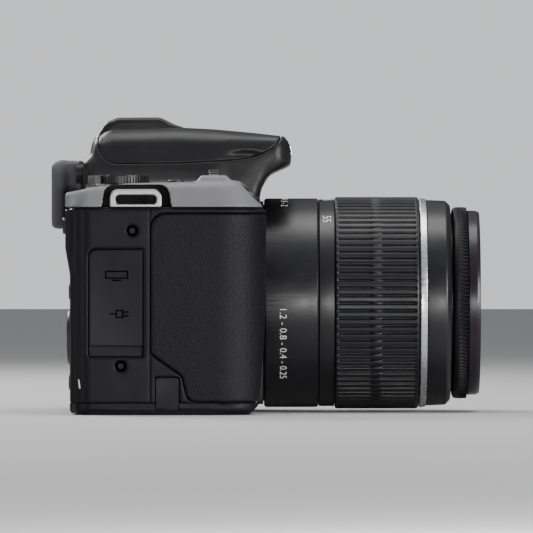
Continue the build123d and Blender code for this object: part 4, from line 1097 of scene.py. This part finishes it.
for n in range(4):
    a = pi / 2 * n
    tip = [(6.2 * cos(a) - 0.7 * sin(a), 6.2 * sin(a) + 0.7 * cos(a)),
           (7.0 * cos(a), 7.0 * sin(a)),
           (6.2 * cos(a) + 0.7 * sin(a), 6.2 * sin(a) - 0.7 * cos(a))]
    mark(f"arrow_{n}", strokes([tip], 0.3), on_rear(-32.7, -51.0, 24.2), "cross_keys")

# White square on the lens beside the mount.
mark("mount_square", strokes([[(-0.5, 0), (0.5, 0)]], 1.0), round_lens(31.6, 12.0, 33.5), "root")

# ---------------------------------------------------------------- stage

HORIZON, CEILING, BACKDROP = 0.06, 0.60, 0.85
camera_data = bpy.data.cameras.new("view")
camera = bpy.data.objects.new("view", camera_data)
bpy.context.scene.collection.objects.link(camera)
camera.location = (0.030, -2.5, 0.04642)
camera.rotation_euler = (radians(90), 0, 0)
camera_data.sensor_width = 36.0
camera_data.lens = 525.9
bpy.context.scene.camera = camera

floor_mesh = bpy.data.meshes.new("floor")
floor_mesh.from_pydata([(-6, -6, 0), (6, -6, 0), (6, 6, 0), (-6, 6, 0)], [], [(0, 1, 2, 3)])
floor = bpy.data.objects.new("floor", floor_mesh)
bpy.context.scene.collection.objects.link(floor)
floor_look, _, floor_shader = nodes_of("pale_floor")
floor_shader.inputs["Base Color"].default_value = (0.52, 0.52, 0.52, 1)
floor_shader.inputs["Roughness"].default_value = 0.7
floor_mesh.materials.append(floor_look)

# A soft studio: a dim room round a large pale ceiling, with a plain pale backdrop.
world = bpy.data.worlds.new("studio")
bpy.context.scene.world = world
world.use_nodes = True
sky = world.node_tree
direction = sky.nodes.new("ShaderNodeTexCoord")
parts = sky.nodes.new("ShaderNodeSeparateXYZ")
link(sky, direction.outputs["Generated"], parts.inputs["Vector"])
rise = ramp(sky, parts.outputs["Z"], 0.25, 0.95, HORIZON, CEILING)
seen = sky.nodes.new("ShaderNodeLightPath")
choice = sky.nodes.new("ShaderNodeMix")
choice.data_type = "FLOAT"
link(sky, seen.outputs["Is Camera Ray"], choice.inputs["Factor"])
link(sky, rise, choice.inputs["A"])
choice.inputs["B"].default_value = BACKDROP
backdrop = sky.nodes["Background"]
backdrop.inputs["Color"].default_value = (0.96, 0.97, 1.0, 1)
link(sky, choice.outputs["Result"], backdrop.inputs["Strength"])


def lamp(name, place, target, size, power):
    data = bpy.data.lights.new(name, "AREA")
    data.shape = "RECTANGLE"
    data.size, data.size_y = size
    data.energy = power
    thing = bpy.data.objects.new(name, data)
    bpy.context.scene.collection.objects.link(thing)
    thing.location = place
    way = np.array(target, float) - np.array(place, float)
    thing.rotation_euler = Vector(way).to_track_quat("-Z", "Y").to_euler()


lamp("overhead", (0.02, 0.08, 0.9), (0.03, -0.02, 0.04), (0.9, 0.45), 6.1)
lamp("camera_side", (0.24, -1.25, 0.036), (0.05, 0, 0.035), (0.45, 0.06), 4.8)
lamp("front_corner", (0.95, -0.75, 0.25), (0.03, -0.03, 0.04), (0.3, 0.5), 12)
lamp("rear_corner", (-0.9, -0.55, 0.25), (0, -0.03, 0.04), (0.2, 0.5), 2)
lamp("rim", (-0.5, 0.7, 0.6), (0, 0, 0.05), (0.4, 0.4), 8)
